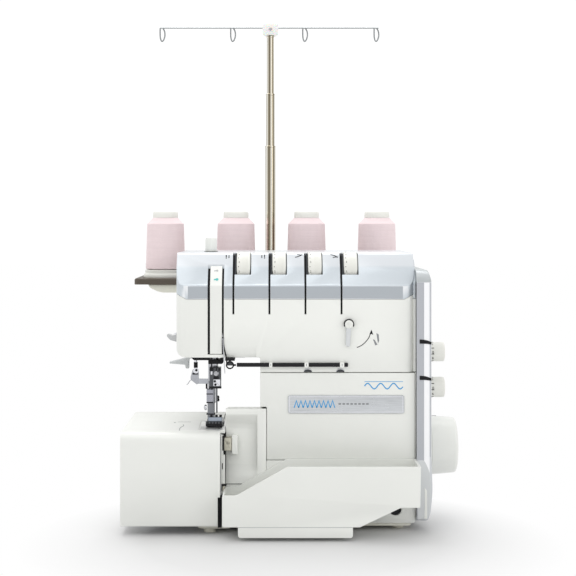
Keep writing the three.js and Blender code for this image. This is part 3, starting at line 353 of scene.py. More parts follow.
def mix_materials():
    def finish(name, slot, made):
        FINISH[name] = (made, slot)

    finish("white", "white_plastic", moulded("white_shell", WHITE, 0.34, Coat_Weight=0.12))
    finish("dial", "dial_plastic", moulded("dial_white", (0.79, 0.79, 0.74), 0.4))
    finish("silver", "silver_plastic", silver_paint())
    finish("band", "silver_plastic", moulded("band_grey", (0.40, 0.43, 0.46), 0.36, Metallic=0.25))
    finish("grey", "grey_plastic", moulded("light_grey", (0.55, 0.56, 0.57), 0.45))
    finish("black", "black_plastic", moulded("black_plastic", (0.008, 0.008, 0.009), 0.42, edge=2.2,
                                             crease=0.9,
                                                      Specular_IOR_Level=0.15))
    finish("charcoal", "grey_plastic", moulded("charcoal_plastic", (0.035, 0.037, 0.04), 0.45, edge=1.8,
                                               Specular_IOR_Level=0.2))
    finish("pale_grey", "grey_plastic", moulded("pale_grey", (0.62, 0.64, 0.65), 0.4))
    finish("panel_grey", "silver_plastic", moulded("panel_grey", (0.43, 0.445, 0.475), 0.4, Metallic=0.2))
    finish("panel_body", "silver_plastic", moulded("panel_body", (0.62, 0.64, 0.66), 0.36,
                                                   top=(PANEL_SHOULDER, (0.42, 0.45, 0.455)), Metallic=0.15))
    finish("panel_bright", "silver_plastic", moulded("panel_bright", (0.9, 0.905, 0.92), 0.36,
                                                     Metallic=0.15))
    finish("ivory", "white_plastic", moulded("ivory_plastic", (0.74, 0.735, 0.65), 0.42))
    finish("ivory_rubber", "rubber", moulded("ivory_rubber", (0.68, 0.67, 0.58), 0.75, grain=0.06))
    finish("tan", "steel", metal("tan_casting", (0.50, 0.485, 0.41), 0.45, (1, 1, 1), scratch=0.01))
    finish("brushed", "silver_plastic", metal("brushed_plate", (0.60, 0.62, 0.64), 0.32, (0.03, 1, 1)))
    finish("blued", "dark_steel", metal("grey_steel", (0.085, 0.088, 0.095), 0.3, (1, 1, 0.05), edge=3))
    finish("clear_white", "dial_plastic", moulded("clear_white", (0.78, 0.80, 0.79), 0.25,
                                                  Subsurface_Weight=0.3))
    finish("faint_ink", "grey_plastic", moulded("faint_print", (0.45, 0.46, 0.46), 0.5, grain=0.0))
    finish("collar_steel", "steel", metal("collar_steel", (0.29, 0.295, 0.33), 0.28, (1, 1, 0.05), edge=1.8))
    finish("slate_steel", "dark_steel", metal("slate_steel", (0.20, 0.225, 0.26), 0.32, edge=1.8))
    finish("brown", "brown_plastic", moulded("taupe_plastic", (0.078, 0.062, 0.045), 0.46, grain=0.05,
                                             edge=1.7))
    finish("rubber", "rubber", moulded("black_rubber", (0.03, 0.03, 0.03), 0.85, grain=0.08, edge=1.5))
    finish("cast", "cast_frame", metal("cast_aluminium", (0.55, 0.56, 0.57), 0.5, scratch=0.03))
    finish("steel", "steel", metal("polished_steel", (0.50, 0.505, 0.53), 0.24, (1, 1, 0.05), edge=1.6))
    finish("plate", "steel", metal("ground_steel", (0.40, 0.41, 0.44), 0.3, (1, 0.04, 1), edge=1.7))
    finish("wire", "steel", metal("bright_wire", (0.27, 0.285, 0.29), 0.25, edge=1.4))
    finish("satin_steel", "steel", metal("satin_steel", (0.86, 0.86, 0.85), 0.45, (1, 0.04, 1), edge=1.05))
    finish("dark_steel", "dark_steel", metal("blued_steel", (0.16, 0.165, 0.18), 0.34, (0.2, 1, 1),
                                             edge=1.9))
    finish("chrome", "chrome", chrome_tube())
    finish("thread", "thread", thread_winding("pink_thread", (0.88, 0.735, 0.75)))
    finish("ink", "black_plastic", moulded("black_print", (0.015, 0.016, 0.018), 0.5, grain=0.0,
                                           Specular_IOR_Level=0.15))
    finish("soft_ink", "grey_plastic", moulded("grey_print", (0.23, 0.24, 0.25), 0.5, grain=0.0))
    finish("blue_ink", "white_plastic", moulded("blue_print", (0.03, 0.30, 0.62), 0.4, grain=0.0))
    finish("green_ink", "white_plastic", moulded("green_print", (0.10, 0.50, 0.47), 0.45, grain=0.0))


# ---------------------------------------------------------------- mesh tools, all in drawing millimetres
def corner_arc(before, corner, after, radius, steps):
    """The points of a round corner, or the corner itself when its radius is 0."""
    here = Vector(corner)
    start = here + (Vector(before) - here).normalized() * radius
    end = here + (Vector(after) - here).normalized() * radius
    if radius == 0:
        return [here]
    curve = []
    for i in range(steps + 1):
        t = i / steps
        curve.append((1 - t) ** 2 * start + 2 * t * (1 - t) * here + t * t * end)
    return curve


def outline(*points, steps=6):
    """Points (u, v) or (u, v, corner radius) as one closed outline."""
    flat = []
    for i, point in enumerate(points):
        radius = point[2] if len(point) > 2 else 0
        flat += corner_arc(points[i - 1][:2], point[:2], points[(i + 1) % len(points)][:2], radius, steps)
    return flat


def rectangle(left, right, bottom, top, radius=0, steps=5):
    return outline((left, bottom, radius), (right, bottom, radius), (right, top, radius),
                   (left, top, radius),
                   steps=steps)


def circle(at, radius, count=24):
    angles = [2 * math.pi * i / count for i in range(count)]
    return [Vector((at[0] + radius * math.cos(a), at[1] + radius * math.sin(a))) for a in angles]


def stroke(points, width):
    """The outline of a line of that width drawn through the points."""
    points = [Vector(p[:2]) for p in points]
    sides = ([], [])
    for i, point in enumerate(points):
        ahead = (points[min(i + 1, len(points) - 1)] - point).normalized()
        behind = (point - points[max(i - 1, 0)]).normalized()
        along = (ahead + behind).normalized()
        lean = max(0.5, along.dot(ahead if ahead.length else behind))
        across = Vector((-along.y, along.x)) * width / 2 / lean
        sides[0].append(point + across)
        sides[1].append(point - across)
    return sides[0] + sides[1][::-1]


def prism(bm, points, origin, u, v, depth):
    """An outline in the plane of u and v at origin, made solid for depth millimetres along u x v."""
    away = u.cross(v).normalized() * depth
    rings = []
    for shift in (Vector((0, 0, 0)), away):
        rings.append([bm.verts.new(Vector(origin) + u * p[0] + v * p[1] + shift) for p in points])
    bm.faces.new(rings[0][::-1])
    bm.faces.new(rings[1])
    for i in range(len(points)):
        j = (i + 1) % len(points)
        bm.faces.new((rings[0][i], rings[0][j], rings[1][j], rings[1][i]))


def front_prism(bm, points, back, front):
    """A front view outline of (x, z) made solid from back to the nearer front."""
    prism(bm, points, (0, back, 0), X, Z, back - front)


def block(bm, x, y, z):
    prism(bm, rectangle(*x, *y), (0, 0, z[0]), X, Y, z[1] - z[0])


def lathe(bm, profile, at, axis, sides=48, closed=False):
    """Turns (radius, distance along the axis) points about the axis. A closed profile makes a ring."""
    side = axis.orthogonal().normalized()
    other = axis.cross(side).normalized()
    rings = []
    for radius, along in profile:
        centre = Vector(at) + axis * along
        if radius < 1e-6:
            rings.append([bm.verts.new(centre)])
            continue
        ring = []
        for i in range(sides):
            angle = 2 * math.pi * i / sides
            ring.append(bm.verts.new(centre + (side * math.cos(angle) + other * math.sin(angle)) * radius))
        rings.append(ring)
    pairs = list(zip(rings, rings[1:] + rings[:1])) if closed else list(zip(rings, rings[1:]))
    for low, high in pairs:
        for i in range(sides):
            j = (i + 1) % sides
            corners = [low[i % len(low)], low[j % len(low)], high[j % len(high)], high[i % len(high)]]
            bm.faces.new(list(dict.fromkeys(corners)))


def smooth_path(points, per_span=8):
    """Points on a Catmull-Rom curve through the given points."""
    points = [Vector(p) for p in points]
    last = len(points) - 1
    path = []
    for i in range(last):
        near = [points[min(max(i + k, 0), last)] for k in (-1, 0, 1, 2)]
        for step in range(per_span):
            t = step / per_span
            a, b, c, d = near
            path.append(0.5 * (2 * b + (c - a) * t + (2 * a - 5 * b + 4 * c - d) * t * t
                               + (3 * b - a - 3 * c + d) * t ** 3))
    path.append(points[-1])
    return path


def tube(bm, path, radius, sides=10, closed=False):
    """A round wire along a path of points, with its ends closed."""
    count = len(path)
    rings = []
    across = None
    for i, point in enumerate(path):
        if closed:
            along = (path[(i + 1) % count] - path[i - 1]).normalized()
        else:
            along = (path[min(i + 1, count - 1)] - path[max(i - 1, 0)]).normalized()
        across = along.orthogonal() if across is None else across - along * across.dot(along)
        across.normalize()
        other = along.cross(across)
        angles = [2 * math.pi * k / sides for k in range(sides)]
        rings.append([bm.verts.new(point + (across * math.cos(a) + other * math.sin(a)) * radius)
                      for a in angles])
    pairs = list(zip(rings, rings[1:] + rings[:1])) if closed else list(zip(rings, rings[1:]))
    for near, far in pairs:
        for k in range(sides):
            m = (k + 1) % sides
            bm.faces.new((near[k], near[m], far[m], far[k]))
    if not closed:
        bm.faces.new(rings[0][::-1])
        bm.faces.new(rings[-1])


NUMERAL_DEPTH = 0.12
EDGE_ANGLE, SHARP_ANGLE = 30, 38  # degrees: bevelled above the first, and shaded as sharp above the second
SCREW_GRID = (-1, -0.8, -0.6, -0.5, -0.3, -0.15, -0.12, 0.12, 0.15, 0.3, 0.5, 0.6, 0.8, 1)


def screw(bm, at, axis, radius, height, cross=True, turn=0.4):
    """A domed screw head standing on at, with a cross or a single slot pressed into it."""
    side = Matrix.Rotation(turn, 3, axis) @ axis.orthogonal().normalized()
    other = axis.cross(side)

    def lift(u, v):
        reach = 0.62 if cross else 1.1
        in_slot = abs(u) < 0.14 and abs(v) < reach or cross and abs(v) < 0.14 and abs(u) < reach
        dome = height * (1 - 0.35 * (u * u + v * v))
        return dome - (0.55 * height if in_slot else 0)

    rows = []
    for a in SCREW_GRID:
        row = []
        for b in SCREW_GRID:
            u, v = a * math.sqrt(1 - b * b / 2), b * math.sqrt(1 - a * a / 2)
            row.append(bm.verts.new(Vector(at) + (side * u + other * v) * radius + axis * lift(u, v)))
        rows.append(row)
    last = len(SCREW_GRID) - 1
    for i in range(last):
        for j in range(last):
            bm.faces.new((rows[i][j], rows[i + 1][j], rows[i + 1][j + 1], rows[i][j + 1]))
    rim = [rows[i][0] for i in range(last)] + [rows[last][j] for j in range(last)]
    rim += [rows[i][last] for i in range(last, 0, -1)] + [rows[0][j] for j in range(last, 0, -1)]
    foot = [bm.verts.new(v.co - axis * (v.co - Vector(at)).dot(axis)) for v in rim]
    for i in range(len(rim)):
        j = (i + 1) % len(rim)
        bm.faces.new((foot[i], foot[j], rim[j], rim[i]))
    bm.faces.new(foot[::-1])


def number(bm, text, at, u, v, size):
    """A printed numeral, centred on at in the plane of u and v and standing just proud of it."""
    data = bpy.data.curves.new("numeral", "FONT")
    data.body = text
    data.size = size
    data.align_x, data.align_y = "CENTER", "CENTER"
    data.extrude = NUMERAL_DEPTH / 2
    made = bpy.data.objects.new("numeral", data)
    scene.collection.objects.link(made)
    bpy.context.view_layer.update()
    mesh = bpy.data.meshes.new_from_object(made.evaluated_get(bpy.context.evaluated_depsgraph_get()))
    turned = Matrix((u, v, u.cross(v))).transposed().to_4x4()
    mesh.transform(Matrix.Translation(Vector(at)) @ turned)
    bm.from_mesh(mesh)
    bpy.data.objects.remove(made)
    bpy.data.meshes.remove(mesh)


def soften(piece, width, segments):
    """Rounds the edges of a piece that are sharper than EDGE_ANGLE."""
    soft = piece.modifiers.new("soft_edges", "BEVEL")
    soft.width = width * MM
    soft.segments = segments
    soft.limit_method = "ANGLE"
    soft.angle_limit = math.radians(EDGE_ANGLE)
    soft.use_clamp_overlap = True
    soft.harden_normals = True


def add(name, bm, finish, body="machine", bevel=0, segments=2, replaces=()):
    """Makes a piece from a mesh in drawing millimetres, with softened edges, riding on its body."""
    bmesh.ops.transform(bm, matrix=TO_ROW, verts=bm.verts)
    bmesh.ops.recalc_face_normals(bm, faces=bm.faces)
    mesh = bpy.data.meshes.new(name)
    bm.to_mesh(mesh)
    bm.free()
    made, slot = FINISH[finish]
    mesh.materials.append(made)
    piece = bpy.data.objects.new(name, mesh)
    scene.collection.objects.link(piece)
    mesh.polygons.foreach_set("use_smooth", [True] * len(mesh.polygons))
    if bevel:
        soften(piece, bevel, segments)
    else:
        mesh.set_sharp_from_angle(angle=math.radians(SHARP_ANGLE))
    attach(piece, body)
    if replaces:
        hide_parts(*replaces)


def part_of(node, merge, convex=False):
    """A copy of a CAD node's mesh with its flat faces whole again; convex splits those that face up."""
    bm = bmesh.new()
    bm.from_mesh(frame["nodes"][node].data)
    bmesh.ops.transform(bm, matrix=TO_ROW.inverted(), verts=bm.verts)
    bmesh.ops.remove_doubles(bm, verts=bm.verts, dist=0.001)
    bmesh.ops.dissolve_limit(bm, angle_limit=math.radians(1), verts=bm.verts, edges=bm.edges)
    if merge:
        bmesh.ops.remove_doubles(bm, verts=bm.verts, dist=merge)
        bmesh.ops.dissolve_degenerate(bm, edges=bm.edges, dist=0.01)
    if convex:
        bmesh.ops.connect_verts_concave(bm, faces=[face for face in bm.faces if face.normal.z > 0.99])
    return bm


def refine(node, finish, bevel=0.8, segments=3, merge=0, name=None, convex=False):
    """Shows a CAD node with softened edges."""
    add(name or node + "_shell", part_of(node, merge, convex), finish, BODY_OF[node], bevel, segments,
        (node,))


def dress(node, finish):
    """Gives a CAD node that is shown as it is its material."""
    made, slot = FINISH[finish]
    piece = frame["nodes"][node]
    piece.data.materials.clear()
    piece.data.materials.append(made)


def plates(name, finish, outlines, back, front, **options):
    """Flat shapes drawn in front view and made solid from back to front, as one piece."""
    bm = bmesh.new()
    for points in outlines:
        front_prism(bm, points, back, front)
    add(name, bm, finish, **options)


def plate(name, finish, points, back, front, **options):
    plates(name, finish, [points], back, front, **options)


def blocks(name, finish, boxes, **options):
    """Boxes given by their x, y and z ranges, as one piece."""
    bm = bmesh.new()
    for box in boxes:
        block(bm, *box)
    add(name, bm, finish, **options)


def turned(name, finish, profile, at, axis, sides=64, closed=False, **options):
    """A turned piece from (radius, distance along the axis) points."""
    bm = bmesh.new()
    lathe(bm, profile, at, axis, sides, closed)
    add(name, bm, finish, **options)


def bent_wire(name, finish, points, radius, **options):
    """A round wire bent smoothly through the points."""
    bm = bmesh.new()
    tube(bm, smooth_path(points), radius)
    add(name, bm, finish, **options)


def screws(name, finish, places, axis, radius, height, cross=True, **options):
    """A set of equal screws, each turned a little differently."""
    bm = bmesh.new()
    for i, at in enumerate(places):
        screw(bm, at, axis, radius, height, cross, turn=0.5 + 1.1 * i)
    add(name, bm, finish, **options)


# ---------------------------------------------------------------- shells
HEAD = Span("front_housing")
TOP = Span("top_cover")
ARM = Span("free_arm_cover")
COVER = Span("looper_cover")
TRAY = Span("trim_tray")
PANEL = Span("side_panel")
BACK = Span("rear_base_cover").back
DIALS = [Span(f"tension_dial_{i + 1}") for i in range(4)]
SLOT_X = [dial.x - 10 for dial in DIALS]  # the thread slots beside the dials
CORNER = 12.5  # the head's round front corners, seen from above
STRIP = Span("take_up_cover")
NOTCH = (STRIP.left - 2.5, STRIP.right + 2)  # the opening that the take-up cover stands in


def make_shells():
    for node in ("front_housing", "rear_arm_cover"):
        refine(node, "white", bevel=0.9)
    for node in ("rear_base_cover", "base_front_cover", "looper_cover"):
        refine(node, "white", bevel=1.0, merge=0.8)
    refine("chip_guard", "white", bevel=0.6)
    refine("free_arm_cover", "white", bevel=1.4, merge=0.8)
    refine("trim_tray", "white", bevel=0.7, convex=True)
    refine("top_cover", "silver", bevel=0.7)
    refine("take_up_cover", "white", bevel=0.5)
    refine("base_plate", "ivory", bevel=0.6)
    dress("main_frame", "cast")


# ---------------------------------------------------------------- head, top
def make_front_band():
    """The darker band along the foot of the top cover, broken by the notch and the thread slots."""
    low, high = TOP.bottom + 0.6, TOP.bottom + 13.1
    breaks = [NOTCH] + [(x - 1.2, x + 1.2) for x in SLOT_X]
    starts = [TOP.left + CORNER] + [gap[1] for gap in breaks]
    ends = [gap[0] for gap in breaks] + [TOP.right - CORNER]
    bm = bmesh.new()
    for start, end in zip(starts, ends):
        front_prism(bm, rectangle(start, end, low, high), TOP.front + 0.1, TOP.front - 0.25)
    add("top_cover_band", bm, "band", bevel=0.12, segments=1)


SLOPE_UP = Vector((0, SLOPE_CREST[0] - SLOPE_CREASE[0], SLOPE_CREST[1] - SLOPE_CREASE[1])).normalized()


def make_slope_prints():
    """A small pictogram left of each dial: needles for the first two, loopers for the others."""
    bm = bmesh.new()
    for i, x in enumerate(SLOT_X):
        at = Vector((x - 6.5, *SLOPE_CREASE)) + SLOPE_UP * 13.2
        turn = 1 if i % 2 else -1
        if i < 2:
            for side in (-1.4, 1.4):
                tall = 1.5 if side * turn > 0 else 0.9
                prism(bm, stroke([(side, -tall), (side, tall)], 1.0), at, X, SLOPE_UP, 0.15)
                prism(bm, circle((side, -tall - 1.1), 0.6, 12), at, X, SLOPE_UP, 0.15)
        else:
            hook = [(-3.8, 1.7 * turn, 0), (-1, 0.9 * turn, 0), (1.6, -0.4 * turn, 0), (3.6, -1.7 * turn, 0)]
            prism(bm, stroke(smooth_path(hook, 4), 0.8), at, X, SLOPE_UP, 0.15)
            prism(bm, stroke([(-1.6, -1.9 * turn), (1.4, -1.3 * turn), (3.8, -1.4 * turn)], 0.8), at, X,
                  SLOPE_UP, 0.15)
    add("slope_pictograms", bm, "ink")


SCALE_START, SCALE_STEP = -70, 16  # degrees up the dial from straight ahead, and between two marks


def make_tension_drum(i, dial):
    """A white drum with fine ribs for the finger on its right half."""
    radius, half = dial.height / 2, dial.width / 2
    rim = [(radius - 1.6, -half), (radius - 0.5, -half + 0.4), (radius, -half + 1.2), (radius, -1)]
    ribs = []
    for k in range(7):
        ribs += [(radius, k * 0.85 - 0.6), (radius - 0.22, k * 0.85 - 0.35)]
    back = [(radius, half - 1.2), (radius - 0.5, half - 0.4), (radius - 1.6, half), (4.4, half)]
    turned(f"tension_drum_{i}", "dial", [(4.4, -half)] + rim + ribs + back, (dial.x, dial.y, dial.z), X,
           sides=96,
           closed=True, body=f"tension_{i}", replaces=(f"tension_dial_{i}",))


def make_tension_scale(i, dial):
    """The scale along a dial's left edge: numbers with a dot between each two."""
    radius, half = dial.height / 2, dial.width / 2
    marks = bmesh.new()
    for step in range(19):
        angle = math.radians(SCALE_START + SCALE_STEP * step)
        out = Vector((0, -math.cos(angle), math.sin(angle)))
        around = Vector((0, math.sin(angle), math.cos(angle)))
        face = Vector((dial.x, dial.y, dial.z)) + out * (radius - 0.02)
        if step % 2:
            prism(marks, circle((1.9 - half, 0), 0.45, 10), face, X, around, 0.12)
        else:
            number(marks, str(step // 2), face + X * (2.5 - half), X, around, 3)
    add(f"tension_scale_{i}", marks, "ink", f"tension_{i}")


def make_tension_dials():
    for i, dial in enumerate(DIALS, 1):
        make_tension_drum(i, dial)
        make_tension_scale(i, dial)


def make_dial_wells():
    """Painted shadow beside the dials, as charcoal plates, and the black throats behind the thread slots."""
    side_shadow_plates, backs = bmesh.new(), bmesh.new()
    surface = [(28, 240), (61.5, 240), (61.5, 281), (42.6, 281), (32.7, 267.3), (28, 259.5)]
    throat = [(23.2, 219.3), (24.7, 219.3), (24.7, 247.9), (26.4, 248.8), (35.8, 265.3), (45.1, 277.6),
              (61.5, 277.6), (61.5, 279),
              (44, 279), (34.5, 266.3), (25.1, 249.6), (23.2, 248.6)]
    # painted shadow: the charcoal plates on either side of each dial stand for the shade there
    for x, dial in zip(SLOT_X, DIALS):
        prism(side_shadow_plates, surface, (x + 1.2, 0, 0), Y, Z, 1.4)
        prism(side_shadow_plates, surface, (dial.right + 0.3, 0, 0), Y, Z, 0.4)
        prism(backs, throat, (x - 1.7, 0, 0), Y, Z, 2.8)
    add("dial_side_shadows", side_shadow_plates, "charcoal", bevel=0.15, segments=1)
    add("thread_slot_backs", backs, "black")
    refine("tension_shaft", "steel", bevel=0.2)


def make_take_up():
    """The black channel behind the take-up cover, and the threading marks printed on its slope."""
    deep = [(22.7, 179), (24.2, 179), (24.2, 247), (26.2, 249.4), (35.2, 265.4), (34, 266.3), (25, 250.2),
            (22.7, 247.6)]
    channel = bmesh.new()
    prism(channel, deep, (NOTCH[0] + 0.2, 0, 0), Y, Z, NOTCH[1] - NOTCH[0] - 0.4)
    add("take_up_channel", channel, "black")
    foot, top = Vector((STRIP.x, 22.1, 251.6)), Vector((STRIP.x, 32.4, 268.8))
    up = (top - foot).normalized()
    for name, finish, along, size in (("take_up_dot", "faint_ink", 14.4, 1.1),
                                      ("take_up_arrow", "green_ink", 4.2, 1.5)):
        bm = bmesh.new()
        prism(bm, circle((0.9, 0), size, 20), foot + up * along, X, up, 0.14)
        prism(bm, stroke([(-2.2, -0.4), (0.2, 0.1)], size), foot + up * along, X, up, 0.14)
        add(name, bm, finish)


def make_pressure_knob():
    """The screw knob of the presser foot's pressure, with a fluted rim."""
    knob = Span("pressure_knob")
    radius = knob.width / 2
    at = (knob.x, knob.y, knob.bottom)
    tall = knob.height
    profile = [(0, 0), (3.4, 0), (3.4, tall - 17), (radius - 0.4, tall - 16.6), (radius, tall - 16),
               (radius, tall - 1.6),
               (radius - 0.5, tall - 0.6), (radius - 1.5, tall - 0.1), (2.4, tall), (2.2, tall - 0.5),
               (0, tall - 0.5)]
    turned("pressure_knob_grip", "white", profile, at, Z, body="pressure_adjuster",
           replaces=("pressure_knob",))
    flutes = bmesh.new()
    for i in range(18):
        angle = 2 * math.pi * i / 18
        out = Vector((math.cos(angle), math.sin(angle), 0))
        foot = Vector(at) + out * (radius - 0.15) + Z * (tall - 15.6)
        tube(flutes, [foot, foot + Z * 13], 0.42, 8)
    add("pressure_knob_ribs", flutes, "white", "pressure_adjuster")
    turned("pressure_knob_collar", "charcoal", [(radius + 0.4, 0), (radius + 1.6, 0), (radius + 1.6, 0.4),
                                                (radius + 0.4, 0.5)],
           (knob.x, knob.y, TOP.top), Z, closed=True)


# ---------------------------------------------------------------- head, front and underside
def make_head_wires():
    """The sprung blade below the take-up slot, the needle thread's wire and ring, and their bracket."""
    front, edge = HEAD.front, NOTCH[1]
    blade = [(edge - 0.9, 197), (edge - 0.2, 188), (edge + 2.9, 175), (edge + 3, 168)]
    plate("take_up_blade", "black", stroke(blade, 1.3), front - 0.1, front - 1.2, bevel=0.15, segments=1)
    bent_wire("needle_thread_wire", "steel", [(edge - 1.2, front + 2, 200), (edge - 0.8, front - 1.6, 193),
                                              (edge + 0.3, front - 2.4, 174),
                                              (edge + 1.2, front - 2.6, 160)], 0.45)
    bm = bmesh.new()
    ring = [Vector((edge + 6.3 + 3.5 * math.cos(a), front - 2, 168.6 - 3.5 * math.sin(a)))
            for a in [2 * math.pi * k / 28 for k in range(28)]]
    tube(bm, ring, 0.75, 10, closed=True)
    add("needle_thread_ring", bm, "black")
    blocks("needle_thread_ring_plate", "charcoal",
           [((edge + 3.4, edge + 9.2), (front - 1.6, front - 0.8), (168, 171.6))], bevel=0.3)
    blocks("guide_bracket", "black", [
        ((edge + 1.4, edge + 11.2), (front - 2.6, front + 14), (172.9, 175.7)),
        ((edge + 5.4, edge + 7.2), (front - 2.6, front - 1.4), (171.4, 173)),
        ((edge + 10, edge + 12.4), (front - 2.4, front), (167.6, 169.4)),
    ], bevel=0.3)
    # painted shade: a black plate for the shade in the opening under the head
    plate("head_underside_painted_shade", "black", outline((-85.6, 175.7), (-82.6, 172.9, 0.6), (-66.9, 172.9, 0.6),
                                                (-66.9, 175.7)),
          front + 16, front + 3, bevel=0.25)


def make_lamp():
    """The lamp's lens under the head, in its frame."""
    blocks("lamp_lens", "dial", [((-47, -33), (42, 60), (174.6, 175.8))], bevel=0.5)
    level = (173.8, 175.9)
    sides = [(x, (40, 62), level) for x in ((-49, -47.3), (-32.7, -31))]
    ends = [((-47.2, -32.8), y, level) for y in ((40, 41.7), (60.3, 62))]
    blocks("lamp_frame", "grey", sides + ends, bevel=0.3)


def make_thread_cutter():
    """The thread cutter on the head's left cheek: a curved guard with a blade behind it."""
    cheek = HEAD.left
    guard = outline((cheek + 0.5, 188), (cheek - 9, 190.6, 2), (cheek - 12.5, 195.2, 1.5),
                    (cheek - 11, 196.6, 0.8),
                    (cheek - 5.5, 194.8, 2), (cheek + 0.5, 198))
    plate("thread_cutter_guard", "grey", guard, 66, 56, bevel=0.5)
    plate("thread_cutter_blade", "steel", [(cheek + 0.4, 199.2), (cheek - 6, 196.2), (cheek + 0.4, 196.6)],
          63.5, 62.9)


RAIL_CLIPS = ((-5.9, -2.7), (29.9, 34.1), (65.8, 70.2))
RAIL_SCOOPS = (33.4, 66.4)


def make_looper_rail():
    """The looper threads' guide rail under the head's front edge, its clips, and painted shade for two
    hollows in that edge.
    """
    rail = Span("looper_guide_rail")
    plate("guide_rail", "black", rectangle(rail.left, rail.right, rail.bottom + 0.1, rail.top, 0.8),
          rail.back,
          rail.front + 0.9, bevel=0.3, replaces=("looper_guide_rail",))
    clips = [rectangle(left, right, rail.bottom - 0.5, rail.top + 0.5, 0.7) for left, right in RAIL_CLIPS]
    plates("guide_rail_clips", "white", clips, rail.back + 0.2, rail.front + 0.2, bevel=0.3)
    middles = [(left + right) / 2 for left, right in RAIL_CLIPS]
    slits = [rectangle(x - 0.3, x + 0.3, rail.bottom + 0.8, rail.top - 0.6) for x in middles]
    plates("guide_rail_slits", "soft_ink", slits, rail.front + 0.6, rail.front + 0.15)
    foot = HEAD.bottom + 0.1
    half_turn = [math.pi * k / 16 for k in range(17)]
    # painted shade of the two hollows: grey half-discs, with charcoal ones darker at their foot
    scoop_shading = (("rail_scoop_grey_shade", "grey", 4.4, 4.4, 0.15), ("rail_scoop_shade", "charcoal", 4.1, 2.7, 0.3))
    for name, finish, wide, tall, proud in scoop_shading:
        arches = [[(x + wide * math.cos(a), foot + tall * math.sin(a)) for a in half_turn]
                  for x in RAIL_SCOOPS]
        plates(name, finish, arches, HEAD.front + 0.5, HEAD.front - proud, bevel=0.12, segments=1)


def make_threader_lever():
    """The looper threader's lever: a round head in a ring of painted shade, open below, and a narrow
    tapering blade.
    """
    lever = Span("threader_lever")
    x, z = lever.left + 5.2, lever.top - 5.2
    blade = outline((x - 2.6, z), (x - 3.2, z - 22, 1.4), (x + 0.9, z - 23, 1.4), (x + 2.6, z))
    plate("threader_blade", "pale_grey", blade, lever.back, lever.front + 1.1, bevel=0.5,
          body="threader_handle",
          replaces=("threader_lever",))
    turned("threader_head", "white", [(0, 0), (4.2, 0), (4.5, 0.3), (4.5, 3.4), (4, 3.9), (2.4, 4.1),
                                      (2.2, 3.8), (0, 3.8)],
           (x, lever.back, z), -Y, body="threader_handle")
    # painted shade: the black ring stands for the shadowed gap round the head
    arc = [math.radians(-28 + 236 * k / 30) for k in range(31)]
    ring = [(x + 5.3 * math.cos(a), z + 5.3 * math.sin(a)) for a in arc]
    ring += [(x + 4.0 * math.cos(a), z + 4.0 * math.sin(a)) for a in arc[::-1]]
    plate("threader_gap_painted_shade", "black", ring, lever.back - 0.2, lever.front + 0.9, bevel=0.15, segments=1,
          body="threader_handle")


def make_lever_prints():
    """The curved arrow beside the lever, with its head, and two marks for an icon."""
    front = HEAD.front + 0.02
    arrow = [(83.2, 186.2, 0), (87.6, 188.2, 0), (91.6, 191.4, 0), (95, 195.6, 0), (97, 200.2, 0)]
    plate("lever_arrow", "ink", stroke(smooth_path(arrow, 6), 0.75), front, front - 0.16)
    plate("lever_arrow_head", "ink", [(96, 199.6), (98, 204.4), (99.8, 199.2), (97.9, 200)], front,
          front - 0.16)
    icon = ([(99.6, 194.6), (101.4, 193.8), (104.2, 189), (101.8, 188.4)],
            [(103, 201), (105.4, 199.4), (105.8, 193), (104.6, 190.4)])
    plates("lever_icon", "soft_ink", icon, front, front - 0.16, bevel=0.05, segments=1)


# ---------------------------------------------------------------- looper cover
PLATE_MARGIN = 1.3  # from the name plate's edge to the line that runs round it


def make_name_plate():
    """The brushed plate on the looper cover, with a raised edge and a plain row of overlock stitches."""
    span = Span("name_plate")
    refine("name_plate", "brushed", bevel=0.3)
    front = span.front
    left, right = span.left + PLATE_MARGIN, span.right - PLATE_MARGIN
    low, high = span.bottom + PLATE_MARGIN, span.top - PLATE_MARGIN
    line = 0.5
    edges = [rectangle(left, right, low, low + line), rectangle(left, right, high - line, high),
             rectangle(left, left + line, low + line, high - line),
             rectangle(right - line, right, low + line, high - line)]
    plates("name_plate_edge", "steel", edges, front + 0.05, front - 0.18, body="front_door")
    starts = [19.5 + 4.6 * k for k in range(9)]
    stitches = [stroke([(x, 125.2), (x + 2.2, 132.4), (x + 4.4, 125.2)], 1.1) for x in starts]
    plates("name_plate_stitches", "blue_ink", stitches, front + 0.02, front - 0.16, body="front_door")
    dashes = [rectangle(x, x + 2.6, 128.2, 129.9, 0.3) for x in [64.5 + 4 * k for k in range(8)]]
    plates("name_plate_dashes", "soft_ink", dashes, front + 0.02, front - 0.14, body="front_door")


def make_cover_prints():
    """A plain wave of thread printed on the cover above the plate, under a straight line."""
    front = COVER.front + 0.02
    wave = [(90.9 + 1.3 * k, 147 + 2.9 * math.sin(k * 0.62), 0) for k in range(31)]
    plate("cover_wave", "blue_ink", stroke(wave, 1.1), front, front - 0.16, body="front_door")
    plate("cover_thread_line", "blue_ink", stroke([(91, 151.6), (130, 151.6)], 0.5), front, front - 0.14,
          body="front_door")


